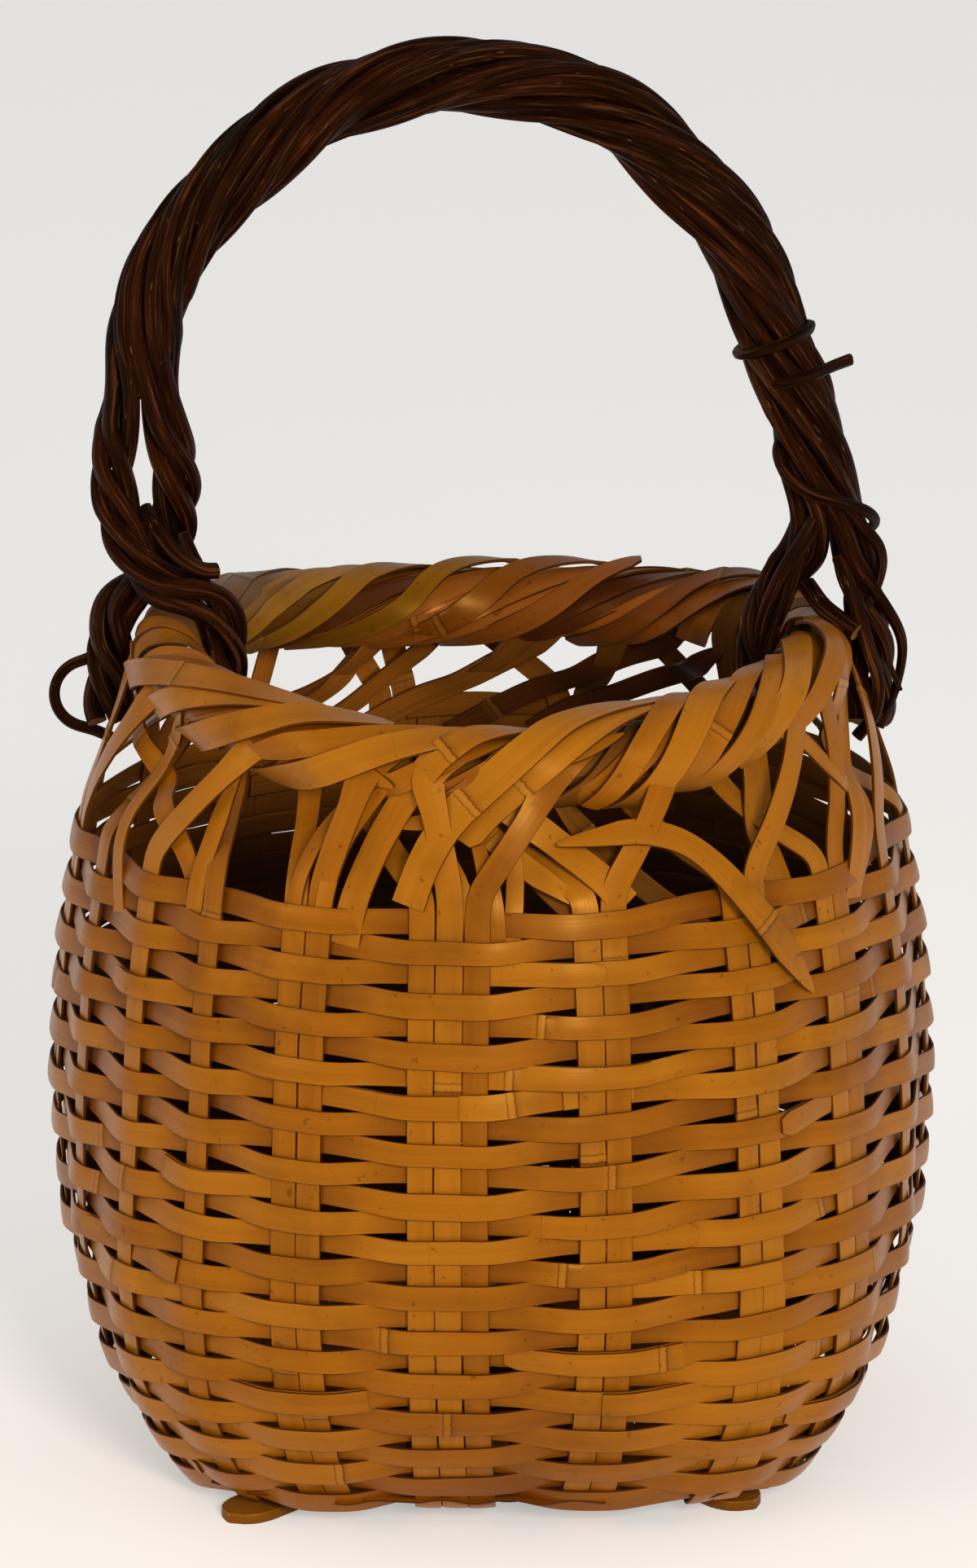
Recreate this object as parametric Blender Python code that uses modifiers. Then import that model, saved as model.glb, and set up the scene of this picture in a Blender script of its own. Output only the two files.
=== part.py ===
"""Ikebana basket: a squared base that rounds out into a belly, woven from split bamboo, with a twisted
bamboo rim and an arched handle of vine. Metres, +Z up, origin on the floor under the middle of the base.
Angles run round the basket from its front (-Y) towards its right side (+X)."""

import math
from collections import namedtuple

import bmesh
import bpy
from mathutils import Vector

MM = 0.001

# Wall: half widths of the basket's middle surface, and the heights they belong to
BELLY_RADIUS = 112.7 * MM
BELLY_HEIGHT = 105 * MM
FOOT_HALF_WIDTH = 75.5 * MM
NECK_RADIUS = 104.3 * MM
WEAVE_TOP = 171 * MM
FOOT_CURVE = 2.65
NECK_CURVE = 1.57
CORNER_POWER = 4.2
ROUND_HEIGHT = 90 * MM
ROUNDING_CURVE = 1.5
CORNER_REACH = math.radians(16.5)
WALL_STEPS = (0.02, 0.09, 0.20, 0.36, 0.57, 0.79, 1.0)
SMALL_TURN = 0.01
SMALL_STEP = 0.5 * MM

# Split bamboo
CLEARANCE = 0.3 * MM
STAKE_WIDTH = 6.2 * MM
STAKE_THICKNESS = 1.1 * MM
STAKE_SPACE = 0.5 * MM
WEFT_WIDTH = 5.4 * MM
WEFT_THICKNESS = 1.0 * MM
WEFT_BEND = 1.0 * MM
WEFT_BOW = 0.2 * MM
ROW_PITCH = 6.2 * MM
ROWS = 27
FIRST_ROW_HEIGHT = 10.5 * MM
TURNS_PER_WEFT = 3
WEFT_END_GAP = 0.8 * MM
LONE_STAKE_BULGE = 1.5

# Stakes that stand together: where each group stands, and how each of its stakes leaves the wall.
# R and L lean right and left over the open band; r and l rise upright and then turn right or left.
STAKE_GROUPS = (
    (-142, "LrR"), (-121, "R"), (-102, "Ll"), (-82, "rR"), (-67, "L"), (-53, "R"),
    (-40, "L"), (-25, "LR"), (-5.5, "LrR"), (14.3, "LR"), (35.5, "LR"),
    (52, "LR"), (68, "R"), (83, "L"), (101, "rR"), (121, "L"), (143, "LR"), (168, "LR"), (193, "LrR"),
)
FOOT_SPREAD = 1.25
FOOT_TURN_CURVE = 2

# Base: plaited stakes over two crossed slats
SLAT_WIDTH = 15 * MM
SLAT_THICKNESS = 2.6 * MM
SLAT_END_TURNS = (0, 30, 60, 85)
LOWER_SLAT_HALF_LENGTH = 90 * MM
UPPER_SLAT_HALF_LENGTH = 84 * MM
BASE_DOME = 3.2 * MM
BASE_WEAVE = 1.25 * MM

# Rim: a core ring with the stake ends wound round it
RIM_FRONT_RADIUS = 89 * MM
RIM_SIDE_RADIUS = 82.4 * MM
RIM_HEIGHT = 203 * MM
RIM_DIP = 5.5 * MM
RIM_CORE_RADIUS = 4.7 * MM
RIM_STRAND_RADIUS = 8.3 * MM
RIM_STEPS = 28
HELIX_TURNS = 10
HELIX_TRACKS = 4
RIM_STRAND_WIDTH = 8.0 * MM
HANDLE_BERTH = math.radians(8)
OUTER_ENTRY = math.radians(10)
INNER_ENTRY = math.radians(217)
OUTER_END = math.radians(245)
INNER_END = math.radians(-80)
BAND_LEAN = math.radians(13)
BAND_LAYER = 1.8 * MM
BAND_SAG = 1.6 * MM
BAND_PLACES = ((0.3, 0.85), (0.66, 1.0))
OUTER_STEPS = 4
INNER_STEPS = 5
BERTH_COST = 1000.0

# Handle: eight vines twisted round a thicker one, forked into two legs of four over the rim
HANDLE_HEIGHT = 354 * MM
VINES = 8
VINE_RADIUS = 2.15 * MM
CORE_VINE_RADIUS = 4.0 * MM
BUNDLE_RADIUS = 6.7 * MM
LEG_RADIUS = 4.05 * MM
TWIST_PITCH = 130 * MM
LEG_PITCH = 68 * MM
LEFT_FORK = 66 * MM
RIGHT_FORK = 34 * MM
FORK_LENGTH = 18 * MM
LEG_SPREAD = 7.8 * MM
LEG_BOW = 3.5
LEG_SEAT = 1.6 * MM
CROSS_LENGTH = 26 * MM
CROSS_SEAT = 0.2 * MM
CROSS_HASTE = 1.3
LEG_PASS = 6.6 * MM
OUTER_LEG_DROP = 20 * MM
INNER_LEG_DROP = 9 * MM
VINE_STEP = 16 * MM
LEG_STEP = 10 * MM
ARCH_STEPS = 40
# The arch's middle line, seen from the front: shares of the rim's side radius and of its own rise
ARCH = (
    (-1.00, -0.40), (-1.00, -0.20), (-1.00, 0.04), (-1.05, 0.20), (-1.07, 0.40), (-1.05, 0.58), (-0.93, 0.73),
    (-0.72, 0.86), (-0.45, 0.96), (-0.12, 1.00), (0.24, 0.97), (0.53, 0.865), (0.74, 0.71),
    (0.87, 0.53), (0.98, 0.36), (1.04, 0.19), (1.00, 0.04), (1.00, -0.20),
    (1.00, -0.40),
)
END_STAGGER = 1.5 * MM
WRAP_RADIUS = 1.1 * MM
WRAP_HEIGHT = 282 * MM
WRAP_STEPS = 10
STRAY_RADIUS = 1.6 * MM
STRAY_REACH = 9 * MM
STRAY_TOP = -1.5 * MM
STRAY_HEIGHT = 18 * MM
STRAY_STEPS = 8

BAMBOO = (0.46, 0.25, 0.07, 1.0)
BAMBOO_DARK = (0.30, 0.15, 0.045, 1.0)
VINE = (0.11, 0.055, 0.032, 1.0)

STAKE_PITCH = STAKE_WIDTH + STAKE_SPACE
WEFT_OFFSET = (WEFT_THICKNESS + STAKE_THICKNESS) / 2 + CLEARANCE + WEFT_BOW
BASE_EDGE = SLAT_THICKNESS + CLEARANCE + STAKE_THICKNESS / 2 + BASE_WEAVE


# A place on a strip's route: its middle, the way out of its face and the strip's width there
Place = namedtuple("Place", "point normal width")


def wall_half_width(height):
    """Half width across the flats of the basket's middle surface at a height."""
    if height < BELLY_HEIGHT:
        share = 1 - height / BELLY_HEIGHT
        return BELLY_RADIUS - (BELLY_RADIUS - FOOT_HALF_WIDTH) * share ** FOOT_CURVE
    share = (height - BELLY_HEIGHT) / (WEAVE_TOP - BELLY_HEIGHT)
    return BELLY_RADIUS - (BELLY_RADIUS - NECK_RADIUS) * share ** NECK_CURVE


def section_power(height):
    """Power of the superellipse at a height: squarish at the foot, 2 (a circle) at the belly."""
    return 2 + (CORNER_POWER - 2) * max(0.0, 1 - height / ROUND_HEIGHT) ** ROUNDING_CURVE


def wall_point(angle, height):
    """The middle surface's point at an angle round the basket and a height."""
    power = section_power(height)
    spread = abs(math.sin(angle)) ** power + abs(math.cos(angle)) ** power
    radius = wall_half_width(height) / spread ** (1 / power)
    return Vector((radius * math.sin(angle), -radius * math.cos(angle), height))


def blend(low, high, share):
    return low + (high - low) * share


class StakeGroup:
    """Stakes side by side that pass over and under the weft together."""

    def __init__(self, degrees, leans):
        self.angle = math.radians(degrees)
        self.leans = leans
        self.count = len(leans)
        self.half_width = (self.count * STAKE_PITCH - STAKE_SPACE) / 2
        self.faces_front = abs(math.cos(self.angle)) > abs(math.sin(self.angle))
        self.at_corner = math.pi / 4 - abs(math.remainder(self.angle, math.pi / 2)) < CORNER_REACH
        self.foot = FOOT_HALF_WIDTH * FOOT_SPREAD * (
            math.sin(self.angle) if self.faces_front else -math.cos(self.angle)
        )
        at_foot = self.foot_point(0)
        self.foot_angle = math.atan2(at_foot.x, -at_foot.y)
        turns = round((self.angle - self.foot_angle) / math.tau)
        self.foot_angle += turns * math.tau

    def offset(self, index):
        """How far a stake stands from the middle of its group."""
        return (index - (self.count - 1) / 2) * STAKE_PITCH

    def foot_point(self, offset):
        """Where a stake turns in under the basket; offset is measured towards +X or +Y."""
        half, power = wall_half_width(BASE_EDGE), section_power(BASE_EDGE)
        along = self.foot + offset
        across = half * (1 - min(1.0, abs(along) / half) ** power) ** (1 / power)
        if self.faces_front:
            return Vector((along, -math.copysign(across, math.cos(self.angle)), BASE_EDGE))
        return Vector((math.copysign(across, math.sin(self.angle)), along, BASE_EDGE))

    def angle_at(self, height):
        """A group fans out from its place at the foot to its place on the belly."""
        share = max(0.0, 1 - height / ROUND_HEIGHT) ** FOOT_TURN_CURVE
        return blend(self.angle, self.foot_angle, share)

    def smooth_frame(self, height):
        """Middle of the group on the wall, the direction across it and the way out."""
        angle = self.angle_at(height)
        middle = wall_point(angle, height)
        across = wall_point(angle + SMALL_TURN, height) - wall_point(angle - SMALL_TURN, height)
        across.normalize()
        above = wall_point(self.angle_at(height + SMALL_STEP), height + SMALL_STEP)
        below = wall_point(self.angle_at(height - SMALL_STEP), height - SMALL_STEP)
        outward = across.cross((above - below).normalized()).normalized()
        return middle, across, outward

    def frame(self, height):
        """The same, with the middle on the straight stretches that the stakes are built from."""
        heights = wall_heights()
        high = next((index for index in range(1, len(heights)) if height <= heights[index]), len(heights) - 1)
        low_frame, high_frame = self.smooth_frame(heights[high - 1]), self.smooth_frame(heights[high])
        share = (height - heights[high - 1]) / (heights[high] - heights[high - 1])
        middle = low_frame[0].lerp(high_frame[0], share)
        across = low_frame[1].lerp(high_frame[1], share).normalized()
        outward = self.smooth_frame(height)[2]
        outward = (outward - across * outward.dot(across)).normalized()
        return middle, across, outward


def wall_heights():
    """Heights of the stakes' straight stretches on the wall."""
    return [BASE_EDGE] + [blend(BASE_EDGE, WEAVE_TOP, share) for share in WALL_STEPS]


def rim_frame(angle):
    """Middle of the rim's bundle and the way out from the basket's axis."""
    side = math.sin(angle) ** 2
    radius = blend(RIM_FRONT_RADIUS, RIM_SIDE_RADIUS, side)
    height = RIM_HEIGHT - RIM_DIP * math.cos(2 * angle)
    outward = Vector((math.sin(angle), -math.cos(angle), 0))
    return outward * radius + Vector((0, 0, height)), outward


def rim_point(angle, phase, radius):
    """A point round the rim's bundle, with its direction from the bundle's middle. Phase 0 is outside."""
    middle, outward = rim_frame(angle)
    direction = outward * math.cos(phase) + Vector((0, 0, math.sin(phase)))
    return middle + direction * radius, direction


def rim_reach():
    """How far the rim's flat strands reach from the middle of its bundle."""
    slope = math.atan(RIM_STRAND_RADIUS * HELIX_TURNS / RIM_SIDE_RADIUS)
    return math.hypot(RIM_STRAND_RADIUS, RIM_STRAND_WIDTH / 2 * math.cos(slope)) + STAKE_THICKNESS / 2


def material(name, colour, roughness):
    surface = bpy.data.materials.new(name)
    surface.use_nodes = True
    shader = surface.node_tree.nodes["Principled BSDF"]
    shader.inputs["Base Color"].default_value = colour
    shader.inputs["Roughness"].default_value = roughness
    surface.diffuse_color = colour
    return surface


def add_object(name, data, collection, surface):
    data.materials.append(surface)
    thing = bpy.data.objects.new(name, data)
    collection.objects.link(thing)
    return thing


def ribbon(name, places, thickness, collection, surface):
    """A flat strip through the places: a grid bent onto the route, then thickened."""
    count = len(places)
    points = [place.point for place in places]
    bm = bmesh.new()
    bmesh.ops.create_grid(bm, x_segments=count - 1, y_segments=1, size=0.5)
    for vertex in bm.verts:
        at = round((vertex.co.x + 0.5) * (count - 1))
        ahead = points[min(at + 1, count - 1)] - points[at]
        behind = points[at] - points[max(at - 1, 0)]
        along = (ahead.normalized() + behind.normalized()).normalized()
        across = along.cross(places[at].normal).normalized()
        vertex.co = points[at] + across * math.copysign(places[at].width / 2, vertex.co.y)
    bmesh.ops.triangulate(bm, faces=bm.faces, quad_method="FIXED")
    mesh = bpy.data.meshes.new(name)
    bm.to_mesh(mesh)
    bm.free()
    strip = add_object(name, mesh, collection, surface)
    shell = strip.modifiers.new("Thickness", "SOLIDIFY")
    shell.thickness = thickness
    shell.offset = 0
    return strip


def tube(name, points, radii, collection, surface, closed=False):
    """A round piece along the points, with six sides."""
    curve = bpy.data.curves.new(name, "CURVE")
    curve.dimensions = "3D"
    curve.bevel_depth = 1.0
    curve.bevel_resolution = 1
    curve.use_fill_caps = not closed
    spline = curve.splines.new("POLY")
    spline.points.add(len(points) - 1)
    for place, point, radius in zip(spline.points, points, radii):
        place.co = (*point, 1)
        place.radius = radius
    spline.use_cyclic_u = closed
    spline.use_smooth = True
    return add_object(name, curve, collection, surface)


def catmull_rom(points, at):
    """A point on the smooth curve through the points; at runs from 1 to the last point but one."""
    start = min(int(at), len(points) - 3)
    share = at - start
    before, first, second, after = points[start - 1:start + 3]
    return 0.5 * (
        2 * first
        + (second - before) * share
        + (2 * before - 5 * first + 4 * second - after) * share ** 2
        + (3 * first - before - 3 * second + after) * share ** 3
    )


# Weft

def row_height(distance):
    """Height on the wall after a distance measured up its front from the first row."""
    height = FIRST_ROW_HEIGHT
    direction = math.copysign(SMALL_STEP, distance)
    left = abs(distance)
    while left > 0:
        rise = wall_half_width(height + direction) - wall_half_width(height)
        length = math.hypot(rise, SMALL_STEP)
        height += direction * min(1.0, left / length)
        left -= length
    return height


def weft_crossing(groups, number, part):
    """Points of the weft at one crossing. Part is start, end or whole."""
    laps, index = divmod(number, len(groups))
    group = groups[index]
    turn = laps + (group.angle - groups[0].angle) / math.tau
    height = row_height((turn - 0.5) * ROW_PITCH)
    middle, across, outward = group.frame(height)
    side = 1 if number % 2 else -1
    edge = group.half_width + WEFT_BEND
    if group.count == 1 and not (group.at_corner and height < ROUND_HEIGHT):
        return [Place(middle + outward * side * WEFT_OFFSET * LONE_STAKE_BULGE, outward, WEFT_WIDTH)]
    spans = [-edge, edge]
    if part == "start":
        spans[0] = WEFT_END_GAP / 2
    if part == "end":
        spans[1] = -WEFT_END_GAP / 2
    lifted = middle + outward * side * WEFT_OFFSET
    return [Place(lifted + across * span, outward, WEFT_WIDTH) for span in spans]


def joint_near(groups, number):
    """The nearest crossing from a number down that runs behind a group of two or more stakes."""
    while number % 2 or groups[number % len(groups)].count < 2:
        number -= 1
    return number


def build_wefts(groups, collection, surface):
    """One spiral over and under the stakes, in lengths that start and end behind a group."""
    per_weft = TURNS_PER_WEFT * len(groups)
    total = ROWS * len(groups)
    joints = [joint_near(groups, min(start, total - 1)) for start in range(0, total + 1, per_weft)]
    for number, (start, end) in enumerate(zip(joints, joints[1:]), 1):
        places = []
        for crossing in range(start, end + 1):
            part = "start" if crossing == start else "end" if crossing == end else "whole"
            places += weft_crossing(groups, crossing, part)
        ribbon(f"weft_{number:02d}", places, WEFT_THICKNESS, collection, surface)


# Stakes

def slot_pitch():
    """Angle round the rim from one turn of its helix to the next."""
    return math.tau / (HELIX_TURNS * HELIX_TRACKS)


def share_rim(ends):
    """Gives each stake end its own turn of the rim's helix, swapping turns while that helps."""
    slots = list(range(HELIX_TURNS * HELIX_TRACKS))
    holders = ends + [None] * (len(slots) - len(ends))
    cost = [[end.slot_cost(slot) if end else 0.0 for slot in slots] for end in holders]
    held = slots[:]
    better = True
    while better:
        better = False
        for one in range(len(held)):
            for other in range(one + 1, len(held)):
                now = cost[one][held[one]] + cost[other][held[other]]
                swapped = cost[one][held[other]] + cost[other][held[one]]
                if swapped < now - 1e-9:
                    held[one], held[other] = held[other], held[one]
                    better = True
    for end, slot in zip(ends, held):
        end.take_slot(slot)


class StakeEnd:
    """One stake's run from the foot of the wall up to the rim."""

    def __init__(self, group, index):
        self.group = group
        self.lean = group.leans[index]
        self.offset = group.offset(index)
        self.outside = self.lean in "Rr"
        flip = -1 if self.offset_runs_backwards() else 1
        self.foot = group.foot_point(self.offset * flip)
        self.top_angle = group.angle + self.offset / NECK_RADIUS
        self.entry_angle = self.zero_angle = self.top_angle

    def offset_runs_backwards(self):
        """Whether a step right across the group, seen from outside, goes towards -X or -Y."""
        group = self.group
        across = math.cos(group.angle) if group.faces_front else math.sin(group.angle)
        return across < 0

    def rim_lead(self):
        """Angle from the start of a turn of the rim's helix to where this stake joins it."""
        return 0 if self.outside else (INNER_ENTRY - OUTER_ENTRY) / HELIX_TURNS

    def slot_cost(self, slot):
        """How far from its lean a stake is drawn by a turn of the helix, kept clear of the handle."""
        angle = slot * slot_pitch() + self.rim_lead()
        if abs(abs(math.remainder(angle, math.tau)) - math.pi / 2) < HANDLE_BERTH:
            return BERTH_COST
        lean = {"R": BAND_LEAN, "L": -BAND_LEAN}.get(self.lean, 0)
        return (math.remainder(angle - self.top_angle - lean, math.tau) / slot_pitch()) ** 2

    def take_slot(self, slot):
        """Ties the stake to a turn of the helix: where it joins it, and where that turn starts outside."""
        turn = slot * slot_pitch() + self.rim_lead()
        turn = self.top_angle + math.remainder(turn - self.top_angle, math.tau)
        self.entry_angle = turn
        self.zero_angle = turn - self.rim_lead()

    def wall_run(self):
        """The stretch that is woven in, from the foot to the top of the weave."""
        corner = (self.group.smooth_frame(BASE_EDGE)[2] + Vector((0, 0, -1))).normalized()
        places = [Place(self.foot, corner, STAKE_WIDTH)]
        for height in wall_heights()[1:]:
            middle, across, outward = self.group.smooth_frame(height)
            places.append(Place(middle + across * self.offset, outward, STAKE_WIDTH))
        return places

    def band_run(self):
        """The bare stretch between the weave and the rim, in one of three layers."""
        phase = OUTER_ENTRY if self.outside else INNER_ENTRY
        end, _ = rim_point(self.entry_angle, phase, RIM_STRAND_RADIUS)
        end_radius = math.hypot(end.x, end.y)
        layer = {"R": BAND_LAYER, "L": -BAND_LAYER}.get(self.lean, 0)
        sag = 0 if self.outside else -BAND_SAG
        places = []
        for share, reach in BAND_PLACES:
            angle = blend(self.top_angle, self.entry_angle, share)
            radius = blend(NECK_RADIUS, end_radius, share)
            height = blend(WEAVE_TOP, end.z, share)
            slope = math.atan2(NECK_RADIUS - end_radius, end.z - WEAVE_TOP)
            outward = Vector((math.sin(angle), -math.cos(angle), 0))
            normal = outward * math.cos(slope) + Vector((0, 0, math.sin(slope)))
            middle = outward * radius + Vector((0, 0, height))
            places.append(Place(middle + normal * (layer * reach + sag * share), normal, STAKE_WIDTH))
        return places

    def rim_run(self):
        """One turn of the helix round the rim's core."""
        start, end = (OUTER_ENTRY, OUTER_END) if self.outside else (INNER_ENTRY, INNER_END)
        steps = OUTER_STEPS if self.outside else INNER_STEPS
        facing = 1 if self.outside else -1
        places = []
        for step in range(steps + 1):
            phase = blend(start, end, step / steps)
            angle = self.zero_angle + (phase - OUTER_ENTRY) / HELIX_TURNS
            point, direction = rim_point(angle, phase, RIM_STRAND_RADIUS)
            places.append(Place(point, direction * facing, RIM_STRAND_WIDTH))
        return places

    def run(self):
        return self.wall_run() + self.band_run() + self.rim_run()


def base_height(x, y):
    """Height of the plaited base's middle surface: it is domed a little, so the slats carry it."""
    reach = wall_half_width(BASE_EDGE)
    return BASE_EDGE + BASE_DOME * max(0.0, 1 - (x * x + y * y) / reach ** 2)


def crossing_place(first, second):
    """Where two stakes cross under the basket, seen from above: the place along the first, 0 to 1."""
    start, run = first[0].foot, first[1].foot - first[0].foot
    other, other_run = second[0].foot, second[1].foot - second[0].foot
    gap = other - start
    return (gap.x * other_run.y - gap.y * other_run.x) / (run.x * other_run.y - run.y * other_run.x)


def base_run(pair, crossing_groups, group_index, first_up):
    """The stretch of a stake under the basket, over one group of crossing stakes and under the next."""
    start, run = pair[0].foot, pair[1].foot - pair[0].foot
    places = []
    for index, crossed in enumerate(crossing_groups):
        shares = sorted(crossing_place(pair, other) for other in crossed)
        side = 1 if (index + group_index + first_up) % 2 else -1
        for share in sorted({shares[0], shares[-1]}):
            point = start + run * share
            point.z = base_height(point.x, point.y) + side * BASE_WEAVE
            places.append((share, point))
    places.sort(key=lambda place: place[0])
    return [Place(point, Vector((0, 0, -1)), STAKE_WIDTH) for _, point in places]


def paired_ends(ends):
    """Pairs each stake end on one side with the one it reaches across the base, in groups."""
    front = sorted((e for e in ends if e.group.faces_front and e.foot.y < 0), key=lambda e: e.foot.x)
    back = sorted((e for e in ends if e.group.faces_front and e.foot.y > 0), key=lambda e: e.foot.x)
    right = sorted((e for e in ends if not e.group.faces_front and e.foot.x > 0), key=lambda e: e.foot.y)
    left = sorted((e for e in ends if not e.group.faces_front and e.foot.x < 0), key=lambda e: e.foot.y)
    return grouped(list(zip(front, back))), grouped(list(zip(right, left)))


def grouped(pairs):
    """Neighbours that share a group at either end lie side by side, so they weave as one."""
    groups = []
    for pair in pairs:
        before = groups[-1][-1] if groups else None
        if before and (before[0].group is pair[0].group or before[1].group is pair[1].group):
            groups[-1].append(pair)
        else:
            groups.append([pair])
    return groups


def build_stakes(groups, collection, surface):
    """Each stake is one strip: rim, wall, under the basket, the other wall and the rim again."""
    ends = [StakeEnd(group, index) for group in groups for index in range(group.count)]
    share_rim(ends)
    lengthwise, crosswise = paired_ends(ends)
    for name, own, others, first_up in (
        ("stake_long", lengthwise, crosswise, 0), ("stake_cross", crosswise, lengthwise, 1),
    ):
        number = 0
        for index, group in enumerate(own):
            for pair in group:
                number += 1
                places = pair[0].run()[::-1] + base_run(pair, others, index, first_up) + pair[1].run()
                ribbon(f"{name}_{number:02d}", places, STAKE_THICKNESS, collection, surface)


# Base slats

def build_slats(collection, surface):
    """Two crossed slats: the lower lies flat, the upper arches over it, and both have round ends."""
    for name, degrees, half_length, rise in (
        ("base_slat_lower", 45, LOWER_SLAT_HALF_LENGTH, 0.0),
        ("base_slat_upper", -45, UPPER_SLAT_HALF_LENGTH, SLAT_THICKNESS + CLEARANCE),
    ):
        direction = Vector((math.cos(math.radians(degrees)), math.sin(math.radians(degrees)), 0))
        half_width = SLAT_WIDTH / 2
        straight = half_length - half_width
        ends = [(straight + half_width * math.sin(math.radians(turn)), math.cos(math.radians(turn)))
                for turn in SLAT_END_TURNS]
        middle = [(straight * step / 3, 1.0) for step in range(3)]
        outline = [(-place, width) for place, width in ends[::-1] + middle[:0:-1]] + middle + ends
        places = []
        for along, width in outline:
            height = SLAT_THICKNESS / 2 + rise * max(0.0, 1 - (along / straight) ** 2)
            point = direction * along + Vector((0, 0, height))
            places.append(Place(point, Vector((0, 0, 1)), SLAT_WIDTH * width))
        ribbon(name, places, SLAT_THICKNESS, collection, surface)


# Rim core

def build_rim_core(collection, surface):
    """The hoop inside the rim."""
    angles = [math.tau * step / RIM_STEPS for step in range(RIM_STEPS)]
    points = [rim_frame(angle)[0] for angle in angles]
    tube("rim_core", points, [RIM_CORE_RADIUS] * RIM_STEPS, collection, surface, closed=True)


# Handle

def arch_point(at):
    """A point on the handle's middle line; at counts the points of ARCH."""
    foot = rim_frame(math.pi / 2)[0]
    rise = HANDLE_HEIGHT - foot.z
    points = [Vector((x * foot.x, 0, foot.z + z * rise)) for x, z in ARCH]
    return catmull_rom(points, at)


def handle_forks(line, lengths):
    """How far along the handle its two forks lie, left and right."""
    rim_height = rim_frame(math.pi / 2)[0].z
    forks = []
    for fork, side in ((LEFT_FORK, -1), (RIGHT_FORK, 1)):
        near = [place for place, point in enumerate(line) if point.x * side > 0]
        forks.append(lengths[min(near, key=lambda place: abs(line[place].z - rim_height - fork))])
    return forks


def arch_stations():
    """Points along the handle's middle line, with the way out from the arch at each, and its two forks."""
    last = len(ARCH) - 2
    steps = ARCH_STEPS * last
    line = [arch_point(1 + (last - 1) * step / steps) for step in range(steps + 1)]
    lengths = [0.0]
    for before, after in zip(line, line[1:]):
        lengths.append(lengths[-1] + (after - before).length)
    forks = handle_forks(line, lengths)
    wanted = []
    for start, end, step in ((0, forks[0], LEG_STEP), (*forks, VINE_STEP), (forks[1], lengths[-1], LEG_STEP)):
        count = round((end - start) / step)
        wanted += [blend(start, end, part / count) for part in range(count)]
    stations = []
    for place in wanted + [lengths[-1]]:
        index = min(range(len(lengths)), key=lambda number: abs(lengths[number] - place))
        index = min(max(index, 1), len(line) - 2)
        along = (line[index + 1] - line[index - 1]).normalized()
        stations.append((place, line[index], Vector((-along.z, 0, along.x))))
    return stations, forks


def leg_reach(below, fork):
    """How far the outer leg's middle is out from the handle's, and how far in front of it.
    The left legs cross above the rim: the outer one passes in front, to the rim's inner side."""
    beside_rim = rim_reach() + LEG_RADIUS + VINE_RADIUS
    if fork != LEFT_FORK:
        share = min(1.0, below / (fork - rim_reach()))
        return blend(LEG_SPREAD, beside_rim - LEG_SEAT, share ** LEG_BOW), 0.0
    beside_rim -= CROSS_SEAT
    height = max(0.0, fork - below)
    passed = min(max((beside_rim + CROSS_LENGTH - height) / CROSS_LENGTH, 0.0), 1.0)
    across = LEG_PASS * math.sin(min(1.0, passed * CROSS_HASTE) * math.pi / 2)
    if height > beside_rim:
        return LEG_SPREAD * math.cos(passed * math.pi / 2), across
    return -math.sqrt(beside_rim ** 2 - height ** 2), across


def leg_offset(phase, past, fork):
    """A vine's place in the leg that it joins: out from the handle's middle line, across it and up it.
    Phase is its place in the bundle at the fork, and past is how far along it has come from there."""
    below = abs(past)
    side = math.copysign(1, math.cos(phase))
    leg_phase = 2 * math.atan2(math.sin(phase), abs(math.cos(phase)))
    leg_phase += math.tau * side * past / LEG_PITCH * below / (below + FORK_LENGTH)
    reach, across = leg_reach(below, fork)
    ahead, behind = leg_reach(below + LEG_STEP / 2, fork)[0], leg_reach(below - LEG_STEP / 2, fork)[0]
    slope = math.atan2(ahead - behind, LEG_STEP)
    out = LEG_RADIUS * math.cos(leg_phase)
    return Vector((side * (reach + out * math.cos(slope)), LEG_RADIUS * math.sin(leg_phase) - side * across,
                   -math.copysign(1, past) * out * math.sin(slope)))


def vine_run(number, stations, forks):
    """A vine's points, from its cut end on the left, over the arch, to its cut end on the right."""
    turns = round((forks[1] - forks[0]) / TWIST_PITCH * VINES) / VINES
    points, outs = [], []
    for length, middle, outward in stations:
        share = (length - forks[0]) / (forks[1] - forks[0])
        phase = math.tau * ((number - 0.5) / VINES + min(max(share, 0.0), 1.0) * turns)
        offset = Vector((math.cos(phase), math.sin(phase), 0)) * BUNDLE_RADIUS
        if share < 0 or share > 1:
            past, fork = (length - forks[0], LEFT_FORK) if share < 0 else (length - forks[1], RIGHT_FORK)
            offset = offset.lerp(leg_offset(phase, past, fork), min(1.0, abs(past) / FORK_LENGTH))
        along = Vector((outward.z, 0, -outward.x))
        points.append(middle + outward * offset.x + Vector((0, offset.y, 0)) + along * offset.z)
        outs.append(offset.x)
    return cut_end(cut_end(points, outs[0], number)[::-1], outs[-1], number)[::-1]


def cut_end(points, out, number):
    """Cuts a run that starts below the rim: outer legs hang lower than inner ones, with uneven ends."""
    drop = OUTER_LEG_DROP if out > 0 else INNER_LEG_DROP
    height = rim_frame(math.pi / 2)[0].z - drop - END_STAGGER * (number % 3)
    while points[1].z < height:
        points = points[1:]
    return [height_place(points, height)] + points[1:]


def height_place(points, height):
    """The first place along the points at a height."""
    for before, after in zip(points, points[1:]):
        if (before.z - height) * (after.z - height) <= 0:
            return before.lerp(after, (height - before.z) / (after.z - before.z))
    return points[0]


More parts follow.
